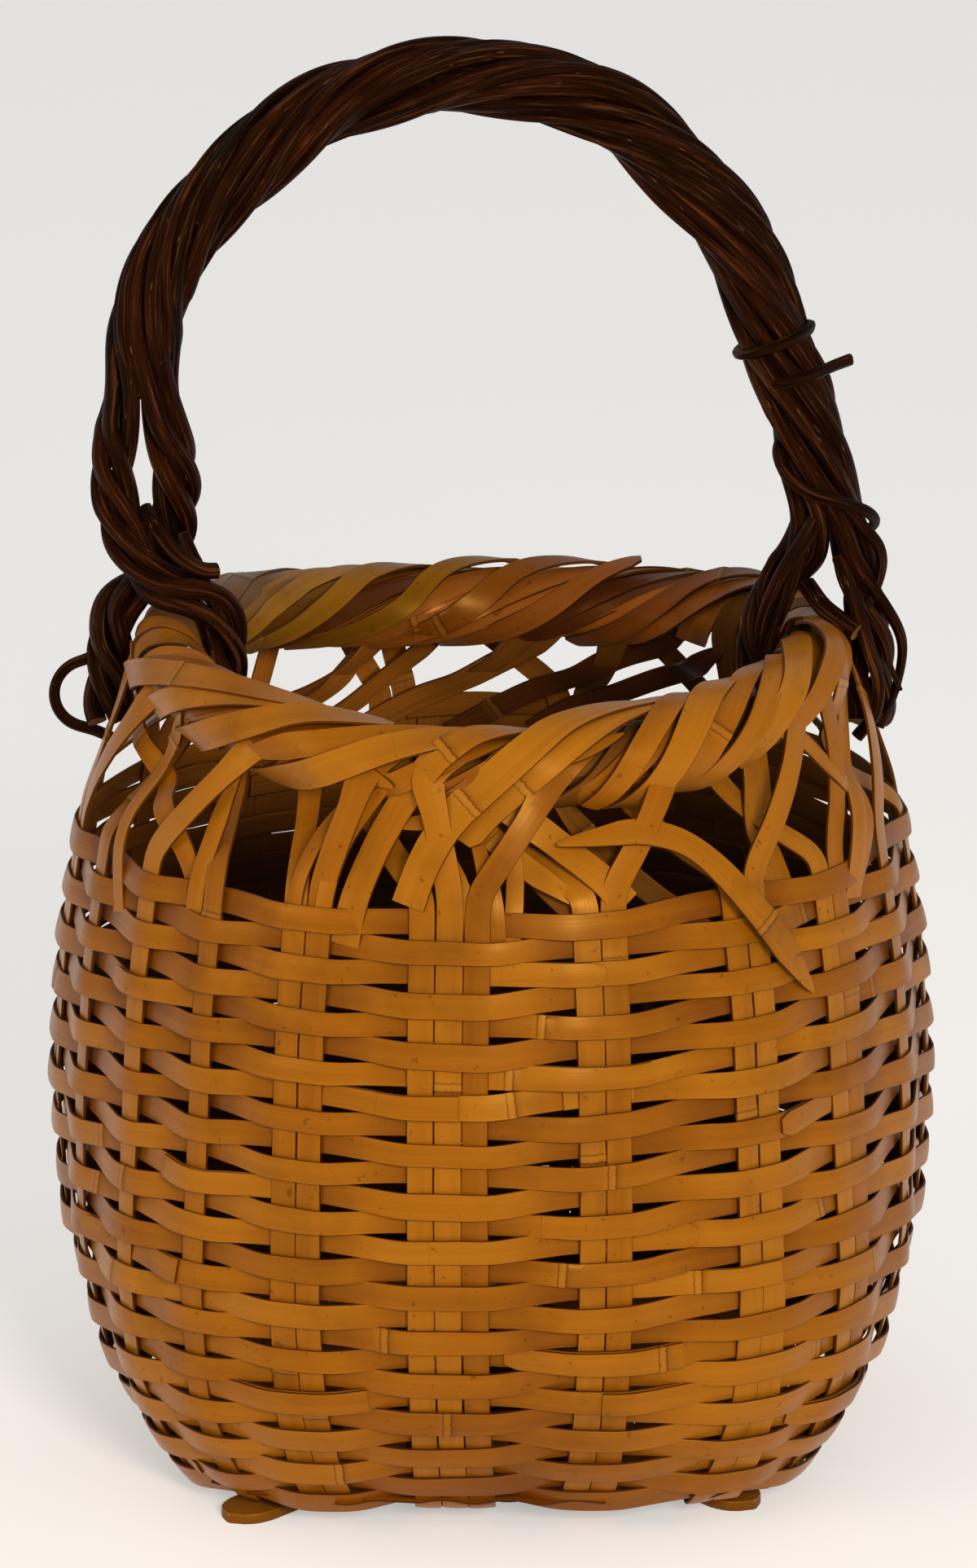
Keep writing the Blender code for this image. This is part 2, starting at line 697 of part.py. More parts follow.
def build_handle(runs, stations, forks, collection, surface):
    for number, points in enumerate(runs, 1):
        tube(f"handle_vine_{number}", points, [VINE_RADIUS] * len(points), collection, surface)
    core = [middle for length, middle, _ in stations if forks[0] <= length <= forks[1]]
    radii = [CORE_VINE_RADIUS] * len(core)
    radii[0] = radii[-1] = CORE_VINE_RADIUS / 2
    tube("handle_core_vine", core, radii, collection, surface)


def build_wrap(stations, collection, surface):
    """The strand that binds the handle on its right."""
    right = [(middle, outward) for _, middle, outward in stations if middle.x > 0]
    middle, outward = min(right, key=lambda station: abs(station[0].z - WRAP_HEIGHT))
    reach = (BUNDLE_RADIUS + VINE_RADIUS + CLEARANCE + WRAP_RADIUS) / math.cos(math.pi / WRAP_STEPS)
    points = []
    for step in range(WRAP_STEPS):
        turn = math.tau * step / WRAP_STEPS
        points.append(middle + outward * reach * math.cos(turn) + Vector((0, reach * math.sin(turn), 0)))
    tube("handle_wrap", points, [WRAP_RADIUS] * WRAP_STEPS, collection, surface, closed=True)


def build_stray_vine(runs, collection, surface):
    """The strand that strays in a loop from the handle's outer left leg."""
    top = rim_frame(-math.pi / 2)[0].z + STRAY_TOP
    seats = []
    for height in (top, top - STRAY_HEIGHT):
        seat = min((height_place(points, height) for points in runs), key=lambda place: place.x)
        seats.append(seat - Vector((VINE_RADIUS + 2 * CLEARANCE, 0, 0)))
    points = []
    for step in range(STRAY_STEPS + 1):
        turn = math.pi * step / STRAY_STEPS
        straight = seats[0].lerp(seats[1], (1 - math.cos(turn)) / 2)
        points.append(straight - Vector((STRAY_REACH * math.sin(turn), 0, 0)))
    tube("handle_stray_vine", points, [STRAY_RADIUS] * len(points), collection, surface)


def main():
    for thing in list(bpy.data.objects):
        bpy.data.objects.remove(thing)
    collection = bpy.data.collections.new("ikebana_basket")
    bpy.context.scene.collection.children.link(collection)
    bamboo = material("smoked_bamboo", BAMBOO, 0.45)
    bamboo_dark = material("smoked_bamboo_dark", BAMBOO_DARK, 0.5)
    vine = material("vine", VINE, 0.7)
    groups = [StakeGroup(degrees, leans) for degrees, leans in STAKE_GROUPS]
    build_wefts(groups, collection, bamboo)
    build_stakes(groups, collection, bamboo)
    build_slats(collection, bamboo_dark)
    build_rim_core(collection, bamboo_dark)
    stations, forks = arch_stations()
    runs = [vine_run(number, stations, forks) for number in range(1, VINES + 1)]
    build_handle(runs, stations, forks, collection, vine)
    build_wrap(stations, collection, vine)
    build_stray_vine(runs, collection, vine)


main()
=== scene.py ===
"""Looks of the ikebana basket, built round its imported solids. Metres, +Z up, front towards -Y.

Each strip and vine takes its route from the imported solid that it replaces. This script gives it the real
one's section, its nodes and unevenness, and its finish. It also winds the handle's legs more tightly, hangs
the stray vine lower and lengthens the slats. The loose splints, the strips that fill the rim, the laps, the
tendrils and the plaited base have no solids and stand only here.
"""

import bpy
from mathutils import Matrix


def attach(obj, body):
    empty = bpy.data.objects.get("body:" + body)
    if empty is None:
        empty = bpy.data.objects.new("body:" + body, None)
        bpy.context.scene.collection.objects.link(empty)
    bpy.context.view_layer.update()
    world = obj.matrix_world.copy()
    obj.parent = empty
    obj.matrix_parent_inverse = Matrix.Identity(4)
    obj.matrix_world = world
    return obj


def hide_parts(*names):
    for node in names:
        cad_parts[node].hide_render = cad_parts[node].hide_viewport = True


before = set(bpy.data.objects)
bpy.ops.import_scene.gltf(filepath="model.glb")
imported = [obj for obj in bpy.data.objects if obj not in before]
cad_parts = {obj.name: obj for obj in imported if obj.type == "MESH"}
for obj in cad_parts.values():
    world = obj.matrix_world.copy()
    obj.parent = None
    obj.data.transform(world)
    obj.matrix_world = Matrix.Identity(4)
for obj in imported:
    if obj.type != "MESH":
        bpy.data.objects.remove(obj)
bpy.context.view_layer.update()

import logging
import math
from dataclasses import dataclass, field
from enum import Enum, IntEnum

import bmesh
import bpy
import numpy as np
from mathutils import Vector

log = logging.getLogger("ikebana_basket")

MM = 0.001

# Solids that the routes are read from
WEFT_SOLID_THICKNESS = 1.0 * MM
STAKE_SOLID_THICKNESS = 1.1 * MM
SLAT_SOLID_THICKNESS = 2.6 * MM
POST_TOLERANCE = 0.03 * MM
WELD = 0.005 * MM
RING_EDGE = 1.3
WALL_SPAN = (20 * MM, 172 * MM)

# Directions that tell a strip's start from its end, a vine's first ring and the one that it goes on to
STRIP_ORDER = (0.37, 1.0, 10.0)
VINE_START = (1.0, 0.1, 0.01)
VINE_ORDER = (0.1, 1.0, 0.01)

# New routes and bodies
FEWEST_PLACES = 8
FLOW_BLEND = 8 * MM
FINER_BY = 6
SEAM_WELD = 1e-6
LOOP_OVERLAP = 3
NEARLY_UPRIGHT = 0.1

# What keeps a division off zero
LEAST_LENGTH = 1e-12
NUDGE = 1e-9

# The map and the values that a finish reads from a piece
FIBRE_MAP = "fibre"
TONE, KNOT, SKIN, SHADE, PIECE = "tone", "knot", "skin", "shade", "piece"
KNOT_REACH = 12 * MM
PIECE_SPREAD = 0.618
SHARP_ANGLE = math.radians(38)


class Seed(IntEnum):
    """Where the draws of each kind of piece start."""

    VINE_TONES = 40
    GROOVES = 50
    WRAPS = 300
    LAP_TONES = 700
    STAKE_TONES = 900
    STAKES = 5000
    SPLINTS = 7000
    SLATS = 8000
    RIM_CORE = 8100
    BASE_MAT = 8200
    VINES = 9000
    CORE_VINE = 9300
    BINDING = 9400
    STRAY_VINE = 9420
    TENDRILS = 9500
    GROOVE_VINES = 9800


# Seeds kept for each piece of a kind
LONG_STRIP_SEEDS = 100
SPLINT_SEEDS = 10
MAT_SEEDS = 40
VINE_SEEDS = 20


def linear(hex_colour: str) -> tuple[float, float, float, float]:
    """Turns an sRGB hex colour to linear RGBA.

    Args:
        hex_colour: such as "B06F1B".

    Returns:
        The colour as a shader socket takes it.
    """
    channels = [int(hex_colour[at:at + 2], 16) / 255 for at in (0, 2, 4)]
    lit = [c / 12.92 if c <= 0.04045 else ((c + 0.055) / 1.055) ** 2.4 for c in channels]
    return (*lit, 1.0)


def add_node(tree: bpy.types.NodeTree, kind: str, settings: dict | None = None,
             links: dict | None = None) -> bpy.types.Node:
    """Adds a node with its settings and links.

    Args:
        tree: the node tree.
        kind: the node's type, without the ShaderNode that its name starts with.
        settings: values by input name, input number or property name; "stops" are a ramp's.
        links: output sockets by input name or number.

    Returns:
        The node.
    """
    node = tree.nodes.new(f"ShaderNode{kind}")
    for name, value in (settings or {}).items():
        if name == "stops":
            ramp = node.color_ramp
            while len(ramp.elements) < len(value):
                ramp.elements.new(1.0)
            for element, (place, colour) in zip(ramp.elements, value):
                element.position = place
                element.color = colour
        elif isinstance(name, int) or name in node.inputs:
            node.inputs[name].default_value = value
        else:
            setattr(node, name, value)
    for name, socket in (links or {}).items():
        tree.links.new(socket, node.inputs[name])
    return node


def new_surface(name: str) -> tuple[bpy.types.Material, bpy.types.NodeTree, bpy.types.Node]:
    """Starts a material.

    Args:
        name: its name.

    Returns:
        The material, its node tree and its shader.
    """
    surface = bpy.data.materials.new(name)
    surface.use_nodes = True
    return surface, surface.node_tree, surface.node_tree.nodes["Principled BSDF"]


def grey(value: float) -> tuple[float, float, float, float]:
    """A ramp stop's grey."""
    return (value, value, value, 1.0)


def wander(places: np.ndarray, period: float, seed: int) -> np.ndarray:
    """Smooth unevenness along a strip or a vine.

    Args:
        places: distances along it.
        period: how far one swing reaches.
        seed: which unevenness.

    Returns:
        A value between -1 and 1 at each place.
    """
    swings = places / period
    count = int(swings.max()) + 3
    values = np.random.default_rng(seed).uniform(-1, 1, count)
    start = swings.astype(int)
    share = swings - start
    share = share * share * (3 - 2 * share)
    return values[start] * (1 - share) + values[start + 1] * share


def unit(vectors: np.ndarray) -> np.ndarray:
    """The vectors at length 1."""
    return vectors / np.maximum(np.linalg.norm(vectors, axis=-1, keepdims=True), LEAST_LENGTH)


def soften(values: np.ndarray, reach: float) -> np.ndarray:
    """Smooths evenly spaced values without moving their ends.

    Args:
        values: one row for each place.
        reach: how many places the smoothing reaches.

    Returns:
        The smoothed values.
    """
    span = min(int(3 * reach) + 1, len(values) - 1)
    weights = np.exp(-0.5 * (np.arange(-span, span + 1) / reach) ** 2)
    weights /= weights.sum()
    before = 2 * values[0] - values[span:0:-1]
    after = 2 * values[-1] - values[-2:-span - 2:-1]
    padded = np.concatenate([before, values, after])
    return np.stack([np.convolve(padded[:, axis], weights, "valid") for axis in range(values.shape[1])], 1)


def lengths_along(points: np.ndarray) -> np.ndarray:
    """Distance of each point along the line through them."""
    return np.concatenate([[0.0], np.cumsum(np.linalg.norm(np.diff(points, axis=0), axis=1))])


def flowing(values: np.ndarray, lengths: np.ndarray, places: np.ndarray) -> np.ndarray:
    """Values on a smooth curve through the given ones.

    Args:
        values: one row for each given place.
        lengths: the given places.
        places: the wanted places.

    Returns:
        The values at the wanted places.
    """
    slopes = np.gradient(values, lengths, axis=0)
    start = np.clip(np.searchsorted(lengths, places, "right") - 1, 0, len(lengths) - 2)
    gap = (lengths[start + 1] - lengths[start])[:, None]
    t = (places - lengths[start])[:, None] / gap
    return (
        values[start] * (2 * t ** 3 - 3 * t ** 2 + 1) + slopes[start] * gap * (t ** 3 - 2 * t ** 2 + t)
        + values[start + 1] * (3 * t ** 2 - 2 * t ** 3) + slopes[start + 1] * gap * (t ** 3 - t ** 2)
    )


@dataclass
class Route:
    """A strip's way: its middle line, the way out of its skin and its width at each place."""

    points: np.ndarray
    outward: np.ndarray
    widths: np.ndarray

    def places(self) -> np.ndarray:
        """Distances along the route."""
        return lengths_along(self.points)

    def frames(self) -> tuple[np.ndarray, np.ndarray]:
        """Directions at each place.

        Returns:
            The direction across the strip and the way out of its skin, square to the route.
        """
        along = unit(np.gradient(self.points, axis=0))
        out = self.outward - along * (self.outward * along).sum(1, keepdims=True)
        out = unit(out)
        return np.cross(along, out), out

    def turned(self) -> "Route":
        """The same route from its other end."""
        return Route(self.points[::-1], self.outward[::-1], self.widths[::-1])

    def part(self, start: int, end: int) -> "Route":
        """The places from one number up to another."""
        return Route(self.points[start:end], self.outward[start:end], self.widths[start:end])

    def evened(self, step: float, slack: float, flow_height: float | None = None,
               flow_slack: float = 0.0) -> "Route":
        """The route with close, even places and rounded bends.

        Args:
            step: distance between the places.
            slack: how far along the strip a bend is rounded.
            flow_height: above this height the strip springs in one curve through its places.
            flow_slack: how far a bend is rounded there.

        Returns:
            The finer route.
        """
        lengths = self.places()
        count = max(FEWEST_PLACES, round(lengths[-1] / step))
        wanted = np.linspace(0, lengths[-1], count)
        stacked = np.column_stack([self.points, self.outward, self.widths])
        straight = np.column_stack([np.interp(wanted, lengths, column) for column in stacked.T])
        result = soften(straight, slack / step)
        if flow_height is not None:
            curved = soften(flowing(stacked, lengths, wanted), flow_slack / step)
            share = np.clip((straight[:, 2:3] - flow_height) / FLOW_BLEND, 0, 1)
            share = soften(share, slack / step)
            result = result * (1 - share) + curved * share
        return Route(result[:, :3], unit(result[:, 3:6]), result[:, 6])


def welded(node: str) -> bmesh.types.BMesh:
    """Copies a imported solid's mesh and merges its doubles.

    Args:
        node: the solid's name.

    Returns:
        The copy.
    """
    bm = bmesh.new()
    bm.from_mesh(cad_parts[node].data)
    bmesh.ops.remove_doubles(bm, verts=bm.verts, dist=WELD)
    bm.verts.index_update()
    return bm


def strip_route(node: str, thickness: float) -> Route:
    """Reads a packed strip's route.

    Each of the strip's places has two short edges through its thickness, its posts. Posts that follow each
    other round the strip's rim are joined by three edges, and the two posts of one place by two or more.

    Args:
        node: the solid's name.
        thickness: the strip's thickness, which finds the posts.

    Returns:
        The route, with its outward side away from the basket's axis.
    """
    bm = welded(node)
    posts, post_of = [], {}
    for edge in bm.edges:
        if abs(edge.calc_length() - thickness) < POST_TOLERANCE:
            for vertex in edge.verts:
                post_of[vertex.index] = len(posts)
            posts.append([vertex.index for vertex in edge.verts])
    joined: dict[tuple[int, int], list[tuple[int, int]]] = {}
    for edge in bm.edges:
        one, other = (vertex.index for vertex in edge.verts)
        a, b = post_of[one], post_of[other]
        if a != b:
            joined.setdefault((a, b), []).append((one, other))
            joined.setdefault((b, a), []).append((other, one))
    beside = {post: [b for (a, b), edges in joined.items() if a == post and len(edges) == 3]
              for post in range(len(posts))}
    ring, last = [0], None
    while len(ring) < len(posts):
        ahead = [post for post in beside[ring[-1]] if post != last]
        last = ring[-1]
        ring.append(ahead[0])
    for before, after in zip(ring, ring[1:]):
        pairs = joined[(before, after)]
        single = [pair for pair in pairs if sum(pair[0] == other[0] for other in pairs) == 1][0]
        if posts[before].index(single[0]) != posts[after].index(single[1]):
            posts[after].reverse()
    count = len(ring) // 2
    for turn in range(count):
        left = [ring[(turn + step) % len(ring)] for step in range(count)]
        right = [ring[(turn - 1 - step) % len(ring)] for step in range(count)]
        if all((a, b) in joined for a, b in zip(left, right)):
            break
    place = {vertex.index: np.array(vertex.co) for vertex in bm.verts}
    bm.free()
    corners = np.array([[[place[v] for v in posts[post]] for post in pair] for pair in zip(left, right)])
    points = corners.mean((1, 2))
    outward = unit((corners[:, :, 1] - corners[:, :, 0]).mean(1))
    widths = np.linalg.norm(corners[:, 0].mean(1) - corners[:, 1].mean(1), axis=1)
    away = points * (1, 1, 0)
    on_wall = (points[:, 2] > WALL_SPAN[0]) & (points[:, 2] < WALL_SPAN[1])
    facing = (outward * away).sum(1)[on_wall].sum() if on_wall.any() else outward[:, 2].sum()
    route = Route(points, outward if facing > 0 else -outward, widths)
    start, end = route.points[0], route.points[-1]
    order = (end - start) @ STRIP_ORDER
    return route if order > 0 else route.turned()


def tube_line(node: str, radius: float) -> tuple[np.ndarray, bool]:
    """Reads the middle line of a packed round piece.

    Args:
        node: the solid's name.
        radius: its radius, which is the longest edge within one of its rings.

    Returns:
        The rings' middles in order, and whether they close in a loop.
    """
    bm = welded(node)
    ring_of = {}
    rings: list[list[bmesh.types.BMVert]] = []
    for seed in bm.verts:
        if seed in ring_of:
            continue
        ring_of[seed] = len(rings)
        rings.append([seed])
        for vertex in rings[-1]:
            for edge in vertex.link_edges:
                other = edge.other_vert(vertex)
                if other not in ring_of and edge.calc_length() < RING_EDGE * radius:
                    ring_of[other] = ring_of[seed]
                    rings[-1].append(other)
    beside: dict[int, set[int]] = {ring: set() for ring in range(len(rings))}
    for edge in bm.edges:
        a, b = (ring_of[vertex] for vertex in edge.verts)
        if a != b:
            beside[a].add(b)
            beside[b].add(a)
    middles = np.array([np.mean([np.array(v.co) for v in ring], axis=0) for ring in rings])
    bm.free()
    ends = [ring for ring in beside if len(beside[ring]) == 1]
    first = min(ends or beside, key=lambda ring: middles[ring] @ VINE_START)
    order = [first]
    while len(order) < len(rings):
        ahead = [ring for ring in beside[order[-1]] if ring not in order]
        order.append(min(ahead, key=lambda ring: middles[ring] @ VINE_ORDER))
    return middles[order], not ends


def sweep(name: str, table: np.ndarray, fibre: np.ndarray, values: dict[str, np.ndarray],
          looped: bool = False) -> bpy.types.Mesh:
    """A closed round or flat body: a grid bent round its route, welded along its seam and capped.

    Args:
        name: the mesh's name.
        table: a position for each place and each point round the section, the last on the first.
        fibre: the fibre map's values, likewise.
        values: the finish's values by name, likewise.
        looped: whether the route closes, its last place on its first.

    Returns:
        The mesh.
    """
    count, around = table.shape[:2]
    bm = bmesh.new()
    bmesh.ops.create_grid(bm, x_segments=count - 1, y_segments=around - 1, size=0.5)
    mesh = bpy.data.meshes.new(name)
    bm.to_mesh(mesh)
    bm.free()
    flat = np.empty(len(mesh.vertices) * 3, np.float32)
    mesh.vertices.foreach_get("co", flat)
    grid = flat.reshape(-1, 3)
    row = np.rint((grid[:, 0] + 0.5) * (count - 1)).astype(int)
    column = np.rint((grid[:, 1] + 0.5) * (around - 1)).astype(int)
    mesh.vertices.foreach_set("co", table[row, column].astype(np.float32).ravel())
    corners = np.empty(len(mesh.loops), np.int32)
    mesh.loops.foreach_get("vertex_index", corners)
    layer = mesh.uv_layers.new(name=FIBRE_MAP)
    layer.data.foreach_set("uv", fibre[row, column][corners].astype(np.float32).ravel())
    for key, value in values.items():
        attribute = mesh.attributes.new(key, "FLOAT", "POINT")
        attribute.data.foreach_set("value", value[row, column].astype(np.float32))
    bm = bmesh.new()
    bm.from_mesh(mesh)
    bmesh.ops.remove_doubles(bm, verts=bm.verts, dist=SEAM_WELD)
    if not looped:
        rim = [edge for edge in bm.edges if edge.is_boundary]
        bmesh.ops.holes_fill(bm, edges=rim, sides=0)
    bmesh.ops.recalc_face_normals(bm, faces=bm.faces)
    bm.to_mesh(mesh)
    bm.free()
    mesh.shade_smooth()
    mesh.set_sharp_from_angle(angle=SHARP_ANGLE)
    return mesh


def place_piece(name: str, mesh: bpy.types.Mesh, surface: bpy.types.Material, slot: str,
                *nodes: str) -> None:
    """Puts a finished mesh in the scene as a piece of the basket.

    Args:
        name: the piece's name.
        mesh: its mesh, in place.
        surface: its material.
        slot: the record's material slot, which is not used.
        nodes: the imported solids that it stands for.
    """
    mesh.materials.append(surface)
    piece = bpy.data.objects.new(name, mesh)
    bpy.context.scene.collection.objects.link(piece)
    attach(piece, "root")
    if nodes:
        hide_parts(*nodes)
    log.info("%s: %d faces", name, len(mesh.polygons))


def joined_meshes(name: str, meshes: list[bpy.types.Mesh]) -> bpy.types.Mesh:
    """Makes one mesh of several, with their maps and values.

    Args:
        name: the new mesh's name.
        meshes: the meshes, which are removed.

    Returns:
        The new mesh.
    """
    bm = bmesh.new()
    for mesh in meshes:
        bm.from_mesh(mesh)
    result = bpy.data.meshes.new(name)
    bm.to_mesh(result)
    bm.free()
    for mesh in meshes:
        bpy.data.meshes.remove(mesh)
    return result


class StripEnd(Enum):
    """How a strip's end is cut: a share of its width is left at its tip, over a length."""

    SQUARE = (1.0, 0.1 * MM)
    SLANTED = (0.55, 3 * MM)
    POINTED = (0.12, 16 * MM)


CUT_ENDS = (StripEnd.SQUARE, StripEnd.SLANTED)
POINT_TO_CUT = (StripEnd.POINTED, StripEnd.SLANTED)
BOTH_SQUARE = (StripEnd.SQUARE, StripEnd.SQUARE)
BOTH_SLANTED = (StripEnd.SLANTED, StripEnd.SLANTED)
BOTH_POINTED = (StripEnd.POINTED, StripEnd.POINTED)


# Half of a split strip's section: share of the half width, share of the thickness from its middle, and how
# much of the bark's skin it has. The skin is on the outside, the split edges and the pith side are bare.
HALF_SECTION = (
    (0.5, -0.5, 0.0), (0.95, -0.5, 0.0), (1.0, -0.34, 0.3), (1.0, 0.28, 0.5), (0.955, 0.48, 0.97),
    (0.5, 0.5, 1.0),
)

# More skin than the first is a section's skin side, and less than the second its pith side
BARKED, BARE = 0.9, 0.1


@dataclass
class Strip:
    """A strip of split bamboo laid along a route.

    Its unevenness goes by its seed and by the distance from its start, so that a strip laid on another with
    the other's seed, from the place where it starts there, sways and leans along with it.
    """

    route: Route
    thickness: float
    seed: int
    crown: float = 0.16 * MM
    knot_spacing: float = 280 * MM
    knot_rise: float = 0.28 * MM
    width_change: float = 0.06
    sway: float = 0.2 * MM
    sway_period: float = 50 * MM
    lean: float = math.radians(4)
    tuck: float = 0.0
    tones: tuple[float, ...] = (0.3,)
    # Painted shade added to the tone at each place; none by default.
    shade: np.ndarray | None = None
    ends: tuple[StripEnd, StripEnd] = BOTH_SQUARE
    start: float = 0.0
    width_period: float = 35 * MM
    lean_period: float = 45 * MM
    edge_wear: float = 0.05 * MM
    wear_period: float = 5 * MM
    knot_reach: float = 1.3 * MM
    knot_spread: float = 0.03
    groove_place: float = 2.3 * MM
    groove_reach: float = 0.8 * MM
    groove_depth: float = 0.15 * MM
    tone_drift: float = 0.08
    tone_period: float = 60 * MM
    tone_limits: tuple[float, float] = (0.02, 0.98)
    knot_gaps: tuple[float, float] = (0.75, 1.25)
    first_knot: tuple[float, float] = (0.1, 1.0)
    pith_knot: float = 0.5
    end_curve: float = 0.7

    def knots(self, length: float) -> np.ndarray:
        """Places the bamboo's nodes along the strip.

        Args:
            length: the strip's length.

        Returns:
            Their distances from its start.
        """
        rng = np.random.default_rng(self.seed + 7)
        gaps = self.knot_spacing * rng.uniform(*self.knot_gaps, int(length / self.knot_spacing) + 3)
        return np.cumsum(gaps) - gaps[0] * rng.uniform(*self.first_knot)

    def tone_at(self, places: np.ndarray) -> np.ndarray:
        """Works out the strip's tone, which drifts along it.

        Args:
            places: distances along the strip.

        Returns:
            The tone at each place.
        """
        tones = np.interp(places, np.linspace(0, places[-1], len(self.tones)), self.tones)
        drift = self.tone_drift * wander(places, self.tone_period, self.seed + 3)
        return np.clip(tones + drift, *self.tone_limits)

    def mesh(self, name: str) -> bpy.types.Mesh:
        """Builds the strip.

        Args:
            name: the mesh's name.

        Returns:
            Its mesh.
        """
        route = self.route
        across, out = route.frames()
        places = route.places() + self.start
        knots = self.knots(places[-1])
        nearest = knots[np.abs(places[:, None] - knots[None]).argmin(1)]
        past_knot = places - nearest
        ridge = np.exp(-(past_knot / self.knot_reach) ** 2)
        groove = np.exp(-((past_knot - self.groove_place) / self.groove_reach) ** 2)
        half = route.widths / 2 * (1 + self.width_change * wander(places, self.width_period, self.seed))
        half = half * (1 + self.knot_spread * ridge)
        half = half + self.edge_wear * wander(places, self.wear_period, self.seed + 1)
        from_ends = (places - places[0], places[-1] - places)
        for end, (share, reach) in zip(from_ends, (end.value for end in self.ends)):
            half = half * (share + (1 - share) * np.clip(end / reach, 0, 1) ** self.end_curve)
        tilt = self.lean * wander(places, self.lean_period, self.seed + 2)[:, None]
        tilt = tilt - math.copysign(self.tuck, across[:, 2].mean())
        across, out = across * np.cos(tilt) + out * np.sin(tilt), out * np.cos(tilt) - across * np.sin(tilt)
        sideways = self.sway * wander(places, self.sway_period, self.seed + 4)
        middle = route.points + across * sideways[:, None]
        right = list(HALF_SECTION)
        left = [(-share, height, skin) for share, height, skin in reversed(right)]
        section = np.array([(0.0, -0.5, 0.0), *right, (0.0, 0.5, 1.0), *left, (0.0, -0.5, 0.0)])
        side, height, skin = section.T
        barked = skin[None] > BARKED
        rise = height[None] * self.thickness + barked * self.crown * (1 - side[None] ** 2)
        rise = rise + barked * (self.knot_rise * ridge - self.groove_depth * groove)[:, None]
        rise = rise - (skin[None] < BARE) * (self.pith_knot * self.knot_rise * ridge)[:, None]
        table = (middle[:, None] + across[:, None] * (half[:, None] * side[None])[..., None]
                 + out[:, None] * rise[..., None])
        span = half[:, None] * side[None]
        fibre = np.stack([np.broadcast_to(places[:, None], span.shape), span], axis=-1)
        whole = np.ones_like(span)
        values = {
            TONE: whole * self.tone_at(places)[:, None],
            KNOT: whole * np.clip(past_knot / KNOT_REACH, -1, 1)[:, None],
            SKIN: whole * skin[None],
            SHADE: whole * (0.0 if self.shade is None else self.shade[:, None]),
            PIECE: whole * (self.seed * PIECE_SPREAD % 1),
        }
        return sweep(name, table, fibre, values)


@dataclass
class Vine:
    """A round, barked vine along a line."""

    line: np.ndarray
    radius: float
    seed: int
    closed: bool = False
    step: float = 1.5 * MM
    sides: int = 24
    slack: float = 3 * MM
    stray: float = 0.0
    taper: tuple[float, float] = (1.0, 1.0)
    tone: float = 0.4
    cut_depth: float = 0.08 * MM
    stray_period: float = 38 * MM
    girth_change: float = 0.10
    girth_period: float = 22 * MM
    knob_rise: float = 0.14
    knob_period: float = 9 * MM
    knob_limit: float = 0.6
    oval: float = 0.07
    oval_period: float = 55 * MM
    ridges: tuple[tuple[int, float], ...] = ((3, 0.05), (5, 0.035), (8, 0.02))
    ridge_drift: float = 1.5
    ridge_period: float = 30 * MM
    seam_blend: float = 10 * MM

    def mesh(self, name: str) -> bpy.types.Mesh:
        """Builds the vine.

        Args:
            name: the mesh's name.

        Returns:
            Its mesh.
        """
        line = self.line
        if self.closed:
            line = np.vstack([line[-LOOP_OVERLAP:], line, line[:LOOP_OVERLAP + 1]])
        lengths = lengths_along(line)
        start, end = 0.0, lengths[-1]
        if self.closed:
            start, end = lengths[LOOP_OVERLAP], lengths[-LOOP_OVERLAP - 1]
        count = max(FEWEST_PLACES, round((end - start) / self.step))
        points = flowing(line, lengths, np.linspace(start, end, count))
        if not self.closed:
            points = soften(points, self.slack / self.step)
        places = lengths_along(points)
        along = unit(np.gradient(points, axis=0))
        if self.closed:
            along[0] = along[-1] = unit(along[0] + along[-1])
        side = np.empty_like(points)
        guide = np.cross(along[0], (0.0, 0.0, 1.0))
        guide = guide if np.linalg.norm(guide) > NEARLY_UPRIGHT else np.cross(along[0], (0.0, 1.0, 0.0))
        for at, direction in enumerate(along):
            guide = guide - direction * (guide @ direction)
            guide = guide / np.linalg.norm(guide)
            side[at] = guide
        other = np.cross(along, side)
        shift = [wander(places, self.stray_period, self.seed + turn) for turn in (1, 2)]
        points = points + (side * shift[0][:, None] + other * shift[1][:, None]) * self.stray
        angles = np.linspace(0, math.tau, self.sides + 1)
        fade = np.linspace(self.taper[0], self.taper[1], count)
        uneven = wander(places, self.girth_period, self.seed + 3)
        girth = self.radius * fade * (1 + self.girth_change * uneven)
        knobs = np.clip(wander(places, self.knob_period, self.seed + 4) - self.knob_limit, 0, 1)
        girth = girth * (1 + self.knob_rise * knobs / (1 - self.knob_limit))
        swing = wander(places, self.oval_period, self.seed + 5)[:, None] * 2
        oval = self.oval * np.cos(2 * (angles[None] + swing))
        ridges = np.zeros((count, self.sides + 1))
        for lobes, weight in self.ridges:
            drift = wander(places, self.ridge_period, self.seed + lobes)[:, None] * self.ridge_drift
            ridges += weight * np.cos(lobes * angles[None] + drift)
        reach = girth[:, None] * (1 + oval + ridges)
        if self.closed:
            blend = np.clip((places - places[-1]) / self.seam_blend + 1, 0, 1)[:, None]
            reach = reach * (1 - blend) + reach[0] * blend
            points[-1] = points[0]
        table = (points[:, None] + side[:, None] * (reach * np.cos(angles[None]))[..., None]
                 + other[:, None] * (reach * np.sin(angles[None]))[..., None])
        if self.closed:
            table[-1] = table[0]
        bark = np.ones_like(reach)
        if not self.closed:
            # The cut ends are bare wood, in rings just beyond the last ones with bark.
            caps = (table[:1] - along[0] * self.cut_depth, table[-1:] + along[-1] * self.cut_depth)
            table = np.concatenate([caps[0], table, caps[1]])
            places = np.concatenate([places[:1], places, places[-1:]])
            bark = np.concatenate([0 * bark[:1], bark, 0 * bark[:1]])
        whole = np.ones_like(bark)
        fibre = np.stack([whole * places[:, None], whole * angles[None] * self.radius], axis=-1)
        return sweep(name, table, fibre, {TONE: whole * self.tone, SKIN: bark}, looped=self.closed)


